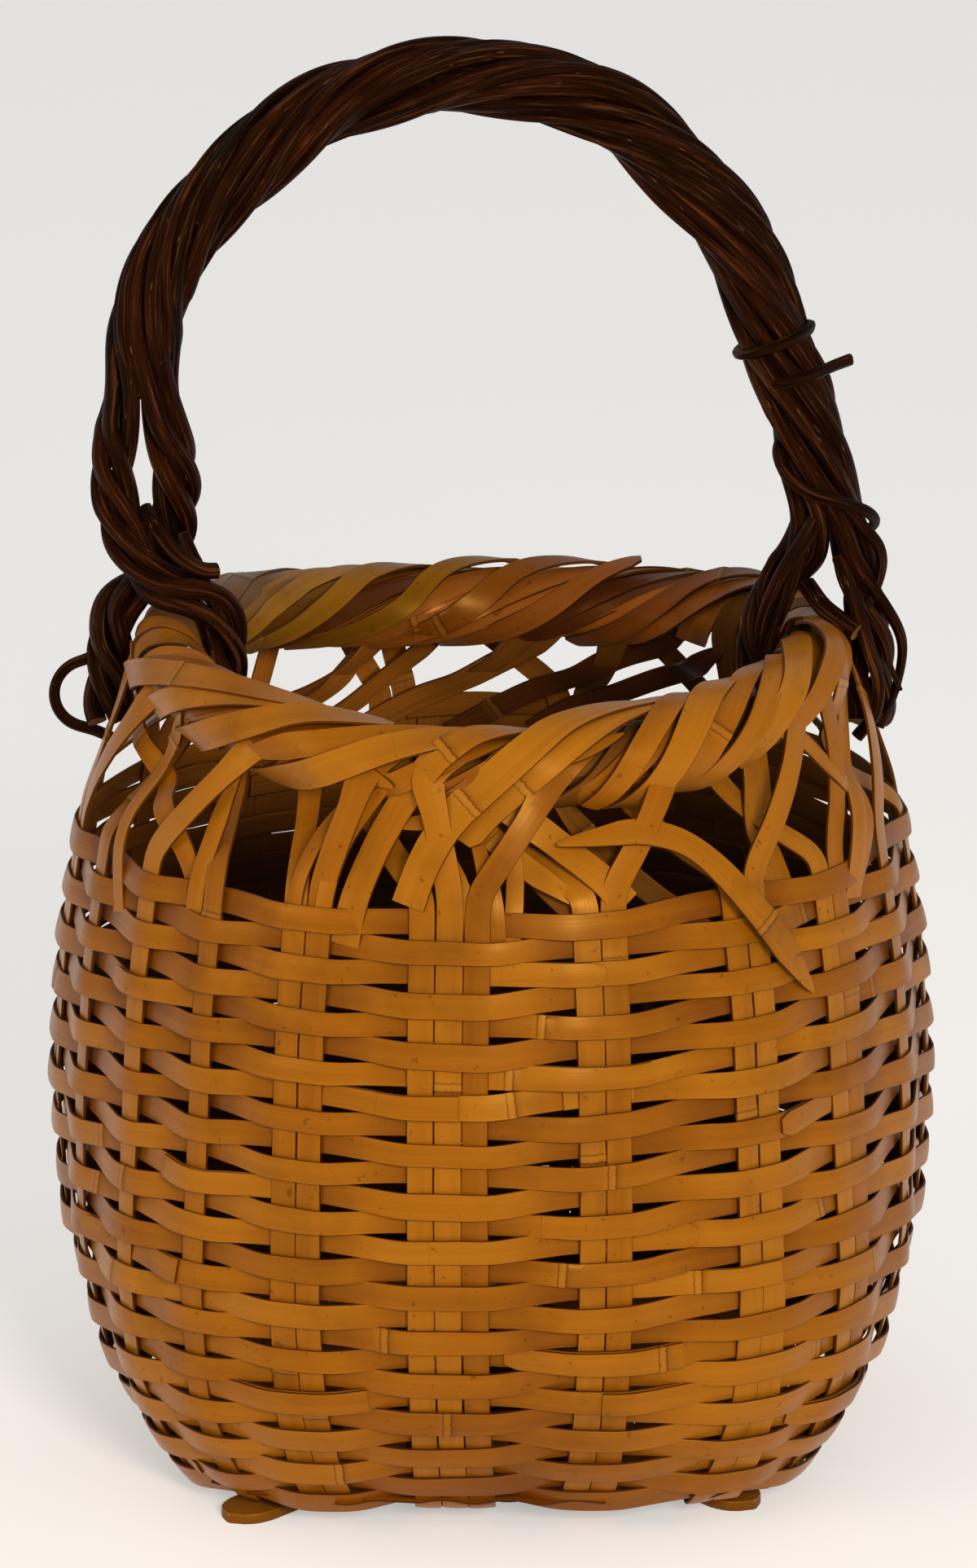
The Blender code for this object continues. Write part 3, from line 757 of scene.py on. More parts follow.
@dataclass(frozen=True)
class SmokedBamboo:
    """Split bamboo, smoked and aged: a glossy ochre skin, fibres along the strip, bare pith behind."""

    name: str
    pale: str
    mid: str
    deep: str
    pith: str
    # The pith's colour in painted shade low down
    shaded_pith: str
    edge: str
    knot: str
    wax: str = "C08A3A"
    skin_roughness: float = 0.25
    pith_roughness: float = 0.62
    gloss: float = 0.48
    gloss_tint: str = "EDB862"
    ior: float = 1.5
    fibre_width: float = 0.55 * MM
    fibre_length: float = 45 * MM
    stain_size: float = 38 * MM
    speck_size: float = 2.2 * MM
    band_stretch: float = 2.2
    band_spread: float = 6.0
    pattern_shift: float = 61.0
    # Painted shade on the pith side fades out between these heights, and runs from painted light at the left
    # to painted shade at the right.
    pith_shade_heights: tuple[float, float] = (128 * MM, 168 * MM)
    pith_shade_sides: tuple[float, float] = (-60 * MM, 35 * MM)

    def build(self) -> bpy.types.Material:
        """Builds the material.

        Returns:
            The material.
        """
        surface, tree, shader = new_surface(self.name)
        fibre = add_node(tree, "UVMap", {"uv_map": FIBRE_MAP}).outputs["UV"]
        tone, knot, skin, shade, piece = (add_node(tree, "Attribute", {"attribute_name": name}).outputs["Fac"]
                                          for name in (TONE, KNOT, SKIN, SHADE, PIECE))
        shift = add_node(tree, "Math", {"operation": "MULTIPLY", 1: self.pattern_shift}, {0: piece})
        apart = add_node(tree, "CombineXYZ", {}, {"Z": shift.outputs[0]}).outputs[0]
        # Fibres run along the strip: long and thin streaks, other ones on each strip.
        fine = (1 / self.fibre_length, 1 / self.fibre_width, 0)
        fine_at = add_node(tree, "VectorMath", {"operation": "MULTIPLY_ADD", 1: fine}, {0: fibre, 2: apart})
        fibres = add_node(tree, "TexNoise", {"Scale": 1.0, "Detail": 3.0, "Roughness": 0.6},
                          {"Vector": fine_at.outputs[0]}).outputs["Fac"]
        broad = (1 / (self.band_stretch * self.fibre_length), 1 / (self.band_spread * self.fibre_width), 0)
        broad_at = add_node(tree, "VectorMath", {"operation": "MULTIPLY_ADD", 1: broad}, {0: fibre, 2: apart})
        bands = add_node(tree, "TexNoise", {"Scale": 1.0, "Detail": 2.0},
                         {"Vector": broad_at.outputs[0]}).outputs["Fac"]
        where = add_node(tree, "TexCoord").outputs["Object"]
        stains = add_node(tree, "TexNoise", {"Scale": 1 / self.stain_size, "Detail": 4.0, "Roughness": 0.62},
                          {"Vector": where}).outputs["Fac"]
        # Ageing: each strip has its own tone, broken by broad bands along it, and painted shade darkens it
        # where it tucks under the stakes.
        tone_and_tuck_shade = add_node(tree, "Math", {"operation": "ADD"}, {0: tone, 1: shade})
        aged = add_node(tree, "Math", {"operation": "MULTIPLY_ADD", 1: 0.5}, {0: bands, 2: tone_and_tuck_shade.outputs[0]})
        aged_ramp = add_node(tree, "ValToRGB", {"stops": [
            (0.22, linear(self.pale)), (0.55, linear(self.mid)), (1.0, linear(self.deep))]},
            {"Fac": aged.outputs[0]})
        streak = add_node(tree, "MapRange", {"From Min": 0.3, "From Max": 0.75, "To Min": 1.04,
                                             "To Max": 0.92}, {"Value": fibres})
        body = add_node(tree, "VectorMath", {"operation": "SCALE"},
                        {0: aged_ramp.outputs["Color"], "Scale": streak.outputs[0]})
        # Smoke: soft dark stains that lie over all the strips.
        smoke = add_node(tree, "MapRange", {"From Min": 0.50, "From Max": 0.78, "To Min": 0.0, "To Max": 0.5},
                         {"Value": stains})
        smoked = add_node(tree, "Mix", {"data_type": "RGBA", 7: linear(self.edge)},
                          {0: smoke.outputs[0], 6: body.outputs[0]})
        # Specks and small scuffs on the skin.
        speck = add_node(tree, "TexNoise", {"Scale": 1 / self.speck_size, "Detail": 2.0}, {"Vector": where})
        speck_share = add_node(tree, "MapRange", {"From Min": 0.68, "From Max": 0.74, "To Max": 0.45},
                               {"Value": speck.outputs["Fac"]})
        specked = add_node(tree, "Mix", {"data_type": "RGBA", 7: linear(self.edge)},
                           {0: speck_share.outputs[0], 6: smoked.outputs[2]})
        # The pith side has no skin: duller, redder and fibrous. Painted shade darkens it low down and towards
        # the right, and painted light brightens it towards the left.
        pith_streak = add_node(tree, "MapRange", {"From Min": 0.3, "From Max": 0.7, "To Min": 1.2,
                                                  "To Max": 0.7}, {"Value": fibres})
        height = add_node(tree, "SeparateXYZ", {}, {"Vector": where})
        lowest, highest = self.pith_shade_heights
        pith_height_shade = add_node(tree, "MapRange", {"From Min": lowest, "From Max": highest},
                         {"Value": height.outputs["Z"]})
        bare = add_node(tree, "Mix", {"data_type": "RGBA", 6: linear(self.shaded_pith), 7: linear(self.pith)},
                        {0: pith_height_shade.outputs[0]})
        pith_side_shade = add_node(tree, "MapRange", {"From Min": self.pith_shade_sides[0], "From Max": self.pith_shade_sides[1],
                                            "To Min": 1.25, "To Max": 0.32}, {"Value": height.outputs["X"]})
        pith_level = add_node(tree, "Math", {"operation": "MULTIPLY"},
                              {0: pith_streak.outputs[0], 1: pith_side_shade.outputs[0]})
        pith = add_node(tree, "VectorMath", {"operation": "SCALE"},
                        {0: bare.outputs[2], "Scale": pith_level.outputs[0]})
        sided = add_node(tree, "Mix", {"data_type": "RGBA"},
                         {0: skin, 6: pith.outputs[0], 7: specked.outputs[2]})
        # Split edges: the darkest line of each strip, dark split wood deepened into painted shade along the
        # lines between strips.
        edge_shade_share = add_node(tree, "MapRange", {"From Min": 0.62, "From Max": 0.92, "To Min": 0.9,
                                                 "To Max": 0.0}, {"Value": skin})
        off_pith = add_node(tree, "Math", {"operation": "GREATER_THAN", 1: 0.08}, {0: skin})
        edge_shade_mask = add_node(tree, "Math", {"operation": "MULTIPLY"},
                             {0: edge_shade_share.outputs[0], 1: off_pith.outputs[0]})
        edged = add_node(tree, "Mix", {"data_type": "RGBA", 7: linear(self.edge)},
                         {0: edge_shade_mask.outputs[0], 6: sided.outputs[2]})
        # A node of the culm: two thin ragged scars with a pale waxy ridge between, and a brown shade behind.
        ragged = add_node(tree, "Math", {"operation": "MULTIPLY_ADD", 1: 0.10}, {0: fibres, 2: knot})
        ring = add_node(tree, "MapRange", {"From Min": -0.95, "From Max": 1.05}, {"Value": ragged.outputs[0]})
        scar = add_node(tree, "ValToRGB", {"stops": [
            (0.0, grey(0)), (0.445, grey(0)), (0.458, grey(0.8)), (0.472, grey(0)), (0.53, grey(0)),
            (0.545, grey(1.0)), (0.562, grey(0.35)), (0.62, grey(0.12)), (0.9, grey(0))]},
            {"Fac": ring.outputs[0]})
        wax = add_node(tree, "ValToRGB", {"stops": [
            (0.38, grey(0)), (0.44, grey(0.5)), (0.465, grey(0.2)), (0.49, grey(0.9)), (0.52, grey(0.9)),
            (0.54, grey(0))]}, {"Fac": ring.outputs[0]})
        wax_share = add_node(tree, "Math", {"operation": "MULTIPLY", 1: 0.2}, {0: wax.outputs["Color"]})
        waxed = add_node(tree, "Mix", {"data_type": "RGBA", 7: linear(self.wax)},
                         {0: wax_share.outputs[0], 6: edged.outputs[2]})
        scar_share = add_node(tree, "Math", {"operation": "MULTIPLY", 1: 0.85}, {0: scar.outputs["Color"]})
        marked = add_node(tree, "Mix", {"data_type": "RGBA", 7: linear(self.knot)},
                          {0: scar_share.outputs[0], 6: waxed.outputs[2]})
        tree.links.new(marked.outputs[2], shader.inputs["Base Color"])
        # Gloss: the skin is satin, the pith side and the scars are dull.
        dull = add_node(tree, "MapRange", {"To Min": self.pith_roughness, "To Max": self.skin_roughness},
                        {"Value": skin})
        rough = add_node(tree, "Math", {"operation": "MULTIPLY_ADD", 1: 0.18},
                         {0: fibres, 2: dull.outputs[0]})
        tree.links.new(rough.outputs[0], shader.inputs["Roughness"])
        shader.inputs["IOR"].default_value = self.ior
        shader.inputs["Specular IOR Level"].default_value = self.gloss
        shader.inputs["Specular Tint"].default_value = linear(self.gloss_tint)
        # Fibres stand a hair proud of the surface.
        bump = add_node(tree, "Bump", {"Strength": 0.35, "Distance": 0.08 * MM}, {"Height": fibres})
        tree.links.new(bump.outputs["Normal"], shader.inputs["Normal"])
        return surface


@dataclass(frozen=True)
class VineBark:
    """Dried akebia or wisteria vine with its bark on: dark brown, ridged along, with rusty streaks."""

    name: str
    bark: str
    rust: str
    worn_and_highlight: str
    crack_and_shade: str
    wood: str
    roughness: float = 0.5
    gloss: float = 0.2
    gloss_tint: str = "D08A4C"
    ior: float = 1.45
    ridge_width: float = 0.9 * MM
    ridge_length: float = 20 * MM
    rust_width: float = 5 * MM
    rust_length: float = 60 * MM
    chip_width: float = 0.9 * MM
    chip_length: float = 5 * MM
    pattern_shift: float = 47.0

    def build(self) -> bpy.types.Material:
        """Builds the material.

        Returns:
            The material.
        """
        surface, tree, shader = new_surface(self.name)
        fibre = add_node(tree, "UVMap", {"uv_map": FIBRE_MAP}).outputs["UV"]
        tone, barked = (add_node(tree, "Attribute", {"attribute_name": name}).outputs["Fac"]
                        for name in (TONE, SKIN))
        shift = add_node(tree, "Math", {"operation": "MULTIPLY", 1: self.pattern_shift}, {0: tone})
        apart = add_node(tree, "CombineXYZ", {}, {"Z": shift.outputs[0]}).outputs[0]
        fine = (1 / self.ridge_length, 1 / self.ridge_width, 0)
        fine_at = add_node(tree, "VectorMath", {"operation": "MULTIPLY_ADD", 1: fine}, {0: fibre, 2: apart})
        ridges = add_node(tree, "TexNoise", {"Scale": 1.0, "Detail": 5.0, "Roughness": 0.65},
                          {"Vector": fine_at.outputs[0]}).outputs["Fac"]
        broad = (1 / self.rust_length, 1 / self.rust_width, 0)
        broad_at = add_node(tree, "VectorMath", {"operation": "MULTIPLY_ADD", 1: broad}, {0: fibre, 2: apart})
        streaks = add_node(tree, "TexNoise", {"Scale": 1.0, "Detail": 3.0},
                           {"Vector": broad_at.outputs[0]}).outputs["Fac"]
        # Rusty streaks where the outer bark has worn, more on some vines than on others.
        rusty = add_node(tree, "Math", {"operation": "MULTIPLY_ADD", 1: 0.5}, {0: tone, 2: streaks})
        rust_share = add_node(tree, "MapRange", {"From Min": 0.55, "From Max": 0.95},
                              {"Value": rusty.outputs[0]})
        brown = add_node(tree, "Mix", {"data_type": "RGBA", 6: linear(self.bark), 7: linear(self.rust)},
                         {0: rust_share.outputs[0]})
        # Ridge tops are rubbed paler by hands and carry a painted highlight too; the cracks between them are
        # nearly black, partly painted shade.
        tops = add_node(tree, "MapRange", {"From Min": 0.54, "From Max": 0.70, "To Max": 0.7},
                        {"Value": ridges})
        rubbed_and_highlit = add_node(tree, "Mix", {"data_type": "RGBA", 7: linear(self.worn_and_highlight)},
                          {0: tops.outputs[0], 6: brown.outputs[2]})
        crack_shade_share = add_node(tree, "MapRange", {"From Min": 0.51, "From Max": 0.38, "To Max": 0.9},
                          {"Value": ridges})
        crack_shaded = add_node(tree, "Mix", {"data_type": "RGBA", 7: linear(self.crack_and_shade)},
                           {0: crack_shade_share.outputs[0], 6: rubbed_and_highlit.outputs[2]})
        # Chips in the bark and the cut ends show pale wood.
        small = (1 / self.chip_length, 1 / self.chip_width, 0)
        chip_at = add_node(tree, "VectorMath", {"operation": "MULTIPLY_ADD", 1: small}, {0: fibre, 2: apart})
        chips = add_node(tree, "TexNoise", {"Scale": 1.0, "Detail": 1.0},
                         {"Vector": chip_at.outputs[0]}).outputs["Fac"]
        chip_share = add_node(tree, "MapRange", {"From Min": 0.73, "From Max": 0.78, "To Max": 0.4},
                              {"Value": chips})
        bare = add_node(tree, "Math", {"operation": "SUBTRACT", 0: 1.0, "use_clamp": True}, {1: barked})
        wood_share = add_node(tree, "Math", {"operation": "MAXIMUM"},
                              {0: chip_share.outputs[0], 1: bare.outputs[0]})
        flecked = add_node(tree, "Mix", {"data_type": "RGBA", 7: linear(self.wood)},
                           {0: wood_share.outputs[0], 6: crack_shaded.outputs[2]})
        tree.links.new(flecked.outputs[2], shader.inputs["Base Color"])
        rough = add_node(tree, "MapRange", {"To Min": self.roughness + 0.2, "To Max": self.roughness - 0.12},
                         {"Value": ridges})
        tree.links.new(rough.outputs[0], shader.inputs["Roughness"])
        shader.inputs["IOR"].default_value = self.ior
        shader.inputs["Specular IOR Level"].default_value = self.gloss
        shader.inputs["Specular Tint"].default_value = linear(self.gloss_tint)
        bump = add_node(tree, "Bump", {"Strength": 0.9, "Distance": 0.6 * MM}, {"Height": ridges})
        tree.links.new(bump.outputs["Normal"], shader.inputs["Normal"])
        return surface


@dataclass
class Wall:
    """Where the basket's wall lies, read from the routes of its strips."""

    points: np.ndarray
    reach: float = 7 * MM

    def radius(self, angle: float, height: float) -> float:
        """Finds how far the wall is from the axis.

        Args:
            angle: from the front towards the right.
            height: above the floor.

        Returns:
            The distance.
        """
        turn = np.arctan2(self.points[:, 0], -self.points[:, 1]) - angle
        aside = np.arctan2(np.sin(turn), np.cos(turn)) * np.hypot(self.points[:, 0], self.points[:, 1])
        gap = (aside ** 2 + (self.points[:, 2] - height) ** 2) / self.reach ** 2
        weights = np.exp(-0.5 * gap) + NUDGE
        return float(np.average(np.hypot(self.points[:, 0], self.points[:, 1]), weights=weights))

    def place(self, degrees: float, height: float, standoff: float) -> tuple[np.ndarray, np.ndarray]:
        """A place on the wall or off it.

        Args:
            degrees: angle from the front towards the right.
            height: above the floor, in mm.
            standoff: out from the wall, in mm.

        Returns:
            The place and the way out of the wall there.
        """
        angle, level = math.radians(degrees), height * MM
        way = np.array((math.sin(angle), -math.cos(angle), 0.0))
        radius = self.radius(angle, level)
        above, below = (self.radius(angle, level + step) for step in (self.reach, -self.reach))
        slope = (above - below) / (2 * self.reach)
        outward = unit(way - np.array((0.0, 0.0, slope)))
        return way * radius + np.array((0.0, 0.0, level)) + outward * standoff * MM, outward


@dataclass
class Hoop:
    """The rim's middle line."""

    line: np.ndarray

    def places(self, degrees: np.ndarray, phases: np.ndarray,
               reach: np.ndarray) -> tuple[np.ndarray, np.ndarray]:
        """Places on the rim or off it.

        Args:
            degrees: angles from the front towards the right.
            phases: degrees round the rim's section: 0 is its outer side and 90 its top.
            reach: distances from the rim's middle.

        Returns:
            The places and the ways out of the rim there.
        """
        turn = np.arctan2(self.line[:, 0], -self.line[:, 1])
        order = np.argsort(turn)
        angle, phase = np.radians(degrees), np.radians(phases)
        middle = np.column_stack([np.interp(angle, turn[order], self.line[order, axis], period=math.tau)
                                  for axis in range(3)])
        level = np.column_stack([np.sin(angle), -np.cos(angle), 0 * angle])
        outward = level * np.cos(phase)[:, None] + np.array((0, 0, 1.0)) * np.sin(phase)[:, None]
        return middle + outward * reach[:, None], outward


def finer(places: tuple[tuple[float, float, float], ...]) -> np.ndarray:
    """Puts more places between the given ones, on a smooth curve.

    Args:
        places: the given places.

    Returns:
        One row for each place.
    """
    numbers = np.arange(len(places), dtype=float)
    between = np.linspace(0, numbers[-1], FINER_BY * (len(places) - 1) + 1)
    return flowing(np.array(places, float), numbers, between)


@dataclass(frozen=True)
class Splint:
    """A loose or extra strip, through places on the wall and then on the rim.

    A wall place is degrees from the front, height and standoff in mm. A rim place is degrees from the front,
    degrees round the rim's section and distance from the rim's middle in mm.
    """

    name: str
    places: tuple[tuple[float, float, float], ...] = ()
    over: tuple[tuple[float, float, float], ...] = ()
    width: float = 6.4 * MM
    ends: tuple[StripEnd, StripEnd] = (StripEnd.SQUARE, StripEnd.POINTED)
    tone: float = 0.3
    pith_out: bool = False
    surface: str = "smoked"
    thickness: float = 0.9 * MM
    crown: float = 0.1 * MM
    knot_spacing: float = 110 * MM
    step: float = 1.4 * MM
    slack: float = 3 * MM

    def mesh(self, wall: Wall, hoop: Hoop, seed: int) -> bpy.types.Mesh:
        """Builds the splint.

        Args:
            wall: the wall that it lies on.
            hoop: the rim that it goes over.
            seed: which unevenness.

        Returns:
            Its mesh.
        """
        points, outward = np.empty((0, 3)), np.empty((0, 3))
        if self.places:
            on_wall = [wall.place(*row) for row in finer(self.places)]
            points, outward = (np.array(part) for part in zip(*on_wall))
        if self.over:
            degrees, phases, reach = finer(self.over).T
            more, out = hoop.places(degrees, phases, reach * MM)
            points, outward = np.vstack([points, more]), np.vstack([outward, out])
        route = Route(points, -outward if self.pith_out else outward, np.full(len(points), self.width))
        route = route.evened(self.step, self.slack)
        return Strip(route, self.thickness, seed, tones=(self.tone,), ends=self.ends,
                     knot_spacing=self.knot_spacing, crown=self.crown).mesh(self.name)


# Loose strips of the band, the rim and the wall
SPLINTS = (
    # On the rim at the front left, one over the other
    Splint("rim_tongue", (), ((-29, 20, 8.5), (-20, 4, 9), (-14, -14, 9.5)), 7.2 * MM, tone=0.4),
    Splint("rim_left_5", (), ((-41, -60, 9.5), (-31, -30, 10.5), (-21, 12, 11.5), (-14, 42, 11.5),
                              (-6, 70, 10.5), (2, 100, 9.5)), 8.2 * MM, POINT_TO_CUT, 0.1),
    Splint("rim_left_4", (), ((-40, -18, 9.5), (-31, 14, 10.8), (-21, 42, 10.8), (-12, 70, 10.3),
                              (-4, 98, 9.5)), 7.0 * MM, POINT_TO_CUT, 0.35),
    Splint("rim_left_3", (), ((-57, -55, 10), (-46, -6, 11.5), (-36, 34, 11.8), (-28, 70, 11.3),
                              (-16, 100, 10)), 8.2 * MM, CUT_ENDS, 0.2),
    Splint("rim_left_2", (), ((-69, -45, 10), (-57, 8, 11.5), (-46, 44, 11.8), (-34, 76, 11),
                              (-20, 104, 9.5)), 6.6 * MM, CUT_ENDS, 0.05),
    Splint("rim_left_1", (), ((-86, -50, 10), (-77, -12, 11.5), (-67, 18, 12.3), (-54, 48, 12.5),
                              (-42, 70, 12), (-30, 92, 10.5), (-20, 106, 9)), 7.4 * MM, CUT_ENDS, 0.15),
    # From the band at the left up to the rim
    Splint("band_node_tip", ((-44, 156, -1), (-43.5, 166, 0.5), (-43, 180, 2), (-42, 188, 3),
                             (-41, 195, 4)), (), 5.4 * MM, tone=0.2),
    Splint("band_slant", ((-45, 166, -2), (-47, 171, -1), (-52, 178, 1), (-62, 184, 2), (-72, 191, 3)),
           ((-79, -20, 9.5), (-84, 20, 10)), 5.8 * MM, tone=0.4),
    Splint("band_bow", ((-60, 153, 0), (-61.5, 168, 1), (-62, 178, 3), (-62, 188, 4)),
           ((-58, -40, 9.5), (-54, 0, 10)), 4.8 * MM, tone=0.1),
    Splint("band_thin_1", ((-27, 160, -0.5), (-26.5, 172, 2), (-24, 182, 4), (-20, 190, 5)),
           ((-17, -14, 8.5), (-15, 8, 8.8)), 4.2 * MM, tone=0.45),
    Splint("band_thin_2", ((-23, 160, -0.5), (-22, 173, 2), (-20.5, 182, 4), (-18, 189, 4)),
           ((-15, -16, 8), (-13, 6, 8.4)), 4.6 * MM, tone=0.3),
    # Sweeps from the band over the front of the rim
    Splint("sweep_under", ((-16, 184, 3), (-9, 185, 4), (-3, 190, 5)),
           ((3, 20, 10), (9, 62, 11), (18, 95, 10)), 5.4 * MM, POINT_TO_CUT, 0.5),
    Splint("sweep_1", ((-19.5, 158, -0.5), (-18.5, 168, 1), (-16.5, 179, 3), (-13, 190, 5.5)),
           ((-8, 30, 11.5), (-2, 72, 11.5), (7, 100, 10)), 7.2 * MM, CUT_ENDS, 0.15),
    Splint("sweep_2", ((-11, 168, 1.5), (-9, 177, 4), (-5, 187, 7)),
           ((3, 28, 12.5), (11, 72, 14), (20, 90, 14), (31, 104, 12)), 8.4 * MM, CUT_ENDS, 0.1),
    Splint("sweep_3", ((-4, 181, 3), (-1, 187, 5)),
           ((5, 8, 11.5), (13, 52, 13), (22, 78, 13.5), (32, 98, 12)), 7.6 * MM, BOTH_SLANTED, 0.05),
    # On the rim at the front right
    Splint("rim_filler", (), ((7, 34, 9.5), (14, 42, 9.8), (20, 58, 9.8)), 5.4 * MM, tone=0.3),
    Splint("rim_right_1", (), ((14.5, -55, 10), (18, -8, 12), (23, 40, 13.5), (29, 76, 13.5),
                               (37, 104, 11)), 6.0 * MM, CUT_ENDS, 0.35),
    Splint("rim_right_2", (), ((19, -80, 10.5), (23, -30, 12), (29, 30, 13.5), (36, 74, 13.5),
                               (45, 106, 11)), 7.6 * MM, CUT_ENDS, 0.15),
    Splint("rim_right_3", (), ((28, -70, 10), (32, -5, 11.2), (38, 48, 12.2), (47, 86, 12), (57, 110, 10)),
           6.2 * MM, CUT_ENDS, 0.3),
    Splint("rim_right_4", (), ((29, -84, 10), (35, -26, 11.8), (42, 20, 12.5), (49, 58, 12.5),
                               (58, 92, 11)), 6.4 * MM, CUT_ENDS, 0.2),
    Splint("rim_right_5", (), ((40, -40, 9.5), (46, 10, 12), (53, 44, 12.8), (61, 76, 12), (70, 104, 10)),
           7.4 * MM, CUT_ENDS, 0.1),
    Splint("rim_loop", (), ((50, -20, 9), (56, 10, 12.5), (61, 30, 14), (67, 48, 14.5), (72, 72, 13.5),
                            (77, 104, 11)), 6.8 * MM, CUT_ENDS, 0.25),
    # From the band at the right up to the rim
    Splint("band_right_slant", ((60, 184, 2), (56, 190, 3), (54, 196, 4)), ((46, 4, 9.5), (42, 30, 10)),
           5.4 * MM, tone=0.15),
    Splint("glossy_drop", ((57, 158, 0), (58, 170, 2), (61, 182, 3), (66, 191, 4)),
           ((67, -6, 11.5), (70, 40, 12), (76, 90, 10)), 6.4 * MM, tone=0.1),
    # In the band at the front
    Splint("inner_drop", ((44, 160, -3), (44.5, 178, -4), (47.5, 190, -4), (48, 198, -3)), (), 9.0 * MM,
           BOTH_SQUARE, 0.2),
    Splint("gold_cross_1", ((-1, 193, 4), (6, 185, 2.5), (10, 180, 1.5), (15, 174, 0), (18, 168, -1)), (),
           7.6 * MM, BOTH_SQUARE, 0.05),
    Splint("gold_cross_2", ((-1, 184, 1), (5, 176, 0.5), (10, 171, -0.5), (14, 166, -1.5)), (), 6.0 * MM,
           tone=0.15),
    Splint("hanging_tail", ((9, 180, 5), (15, 180.5, 6.5), (20, 181, 7.5), (26, 177.5, 8), (31, 170.5, 7.5),
                            (36.5, 160, 6), (41, 148.5, 4.5), (44.5, 140, 3)), (), 6.8 * MM,
           BOTH_POINTED, 0.2),
    Splint("front_point_1", ((-1.5, 158, -1), (-3.0, 168, 0), (-6.5, 180, 1.5), (-8.5, 186, 2.5)), (),
           5.2 * MM, tone=0.3),
    Splint("front_point_2", ((0.6, 158, -1), (0.2, 170, 0.5), (-2.0, 181, 2), (-4.0, 187, 3)), (), 4.8 * MM,
           tone=0.45),
    Splint("front_point_3", ((2.6, 158, -1), (3.2, 170, 0), (3.4, 180, 1.5), (2.6, 187, 2)), (), 4.6 * MM,
           tone=0.25),
    # From the band at the far right over the rim
    Splint("far_right_sweep", ((58, 158, -1), (62, 172, 1), (66, 184, 2)),
           ((73, -10, 9.5), (78, 40, 10), (84, 90, 9)), 6.4 * MM, tone=0.3),
    # Inside the band, pith side out
    Splint("inner_slant_1", ((16, 158, -1.5), (9, 172, -4), (2, 184, -3.5), (-5, 196, -3)), (), 6.8 * MM,
           tone=0.6, pith_out=True),
    Splint("inner_slant_2", ((30, 158, -1.5), (22, 172, -4.5), (15, 184, -4), (8, 196, -3)), (), 6.4 * MM,
           tone=0.6, pith_out=True),
    # Long slants of the band at the back, seen from inside
    Splint("back_slant_1", ((200, 162, -1.5), (190, 173, -3.5), (177, 186, -4), (164, 198, -3)), (),
           7.4 * MM, tone=0.5),
    Splint("back_slant_2", ((218, 162, -1.5), (209, 177, -3), (200, 195, -3)), (), 6.8 * MM, tone=0.4),
    Splint("back_slant_3", ((209, 162, -1.5), (198, 178, -4), (186, 197, -3.5)), (), 7.0 * MM, tone=0.5),
    Splint("back_slant_4", ((186, 160, -1.5), (175, 173, -3.5), (159, 186, -4.5), (140, 198, -3.5)), (),
           7.0 * MM, tone=0.8, surface="reddish"),
    Splint("back_slant_5", ((174, 160, -1.5), (164, 172, -3), (148, 184, -3.5), (130, 196, -3)), (),
           6.6 * MM, tone=0.7, surface="reddish"),
    # Over the rim at the back
    Splint("back_rim_1", (), ((222, 235, 9.5), (210, 205, 11), (198, 165, 12.5), (190, 120, 13.8),
                              (181, 90, 13.5), (171, 55, 11.5), (163, 25, 10)), 6.2 * MM, tone=0.45,
           surface="olive"),
    Splint("back_rim_2", (), ((206, 240, 9.5), (194, 205, 11), (183, 160, 12.6), (175, 118, 13.8),
                              (166, 88, 13.2), (156, 50, 11), (149, 22, 10)), 6.4 * MM, tone=0.7),
    Splint("back_rim_3", (), ((190, 238, 9.5), (178, 200, 11), (167, 160, 12.5), (159, 125, 13.8),
                              (152, 100, 14.5)), 6.0 * MM, CUT_ENDS, 0.2, surface="reddish"),
    Splint("back_rim_4", (), ((240, 240, 9.5), (228, 205, 11), (216, 165, 12), (206, 125, 12.8),
                              (197, 95, 12), (187, 60, 10.5)), 6.4 * MM, tone=0.2, surface="olive"),
    Splint("back_rim_5", (), ((165, 236, 9.5), (154, 200, 11), (143, 160, 12), (134, 122, 12.5),
                              (126, 92, 11.5), (117, 60, 10)), 6.0 * MM, tone=0.4, surface="reddish"),
    Splint("back_sweep", ((238, 158, 1), (232, 172, 2), (225, 186, 3)), ((217, 10, 9.5), (210, 60, 10)),
           6.6 * MM, tone=0.4),
)

# Laps where one weft strip follows another: degrees, height in mm, and which way the lap runs from its end
LAPS = (
    (14.9, 150.4, -1), (-27.3, 122.5, 1), (19.0, 124.5, -1), (-3.1, 129.8, 1),
    (38.6, 106.9, 1), (27.4, 85.0, -1), (15.3, 71.9, 1), (39.0, 41.3, -1),
    (41.8, 28.1, 1), (-39.4, 42.2, 1), (-22.0, 96.0, -1), (-58.0, 140.0, 1),
    (66.0, 150.0, -1), (-64.0, 70.0, 1), (96.0, 60.0, 1), (118.0, 130.0, -1),
    (152.0, 90.0, 1), (178.0, 150.0, -1), (205.0, 60.0, 1), (231.0, 120.0, -1),
    (262.0, 40.0, 1), (-45.0, 15.0, -1), (2.0, 52.0, 1),
)


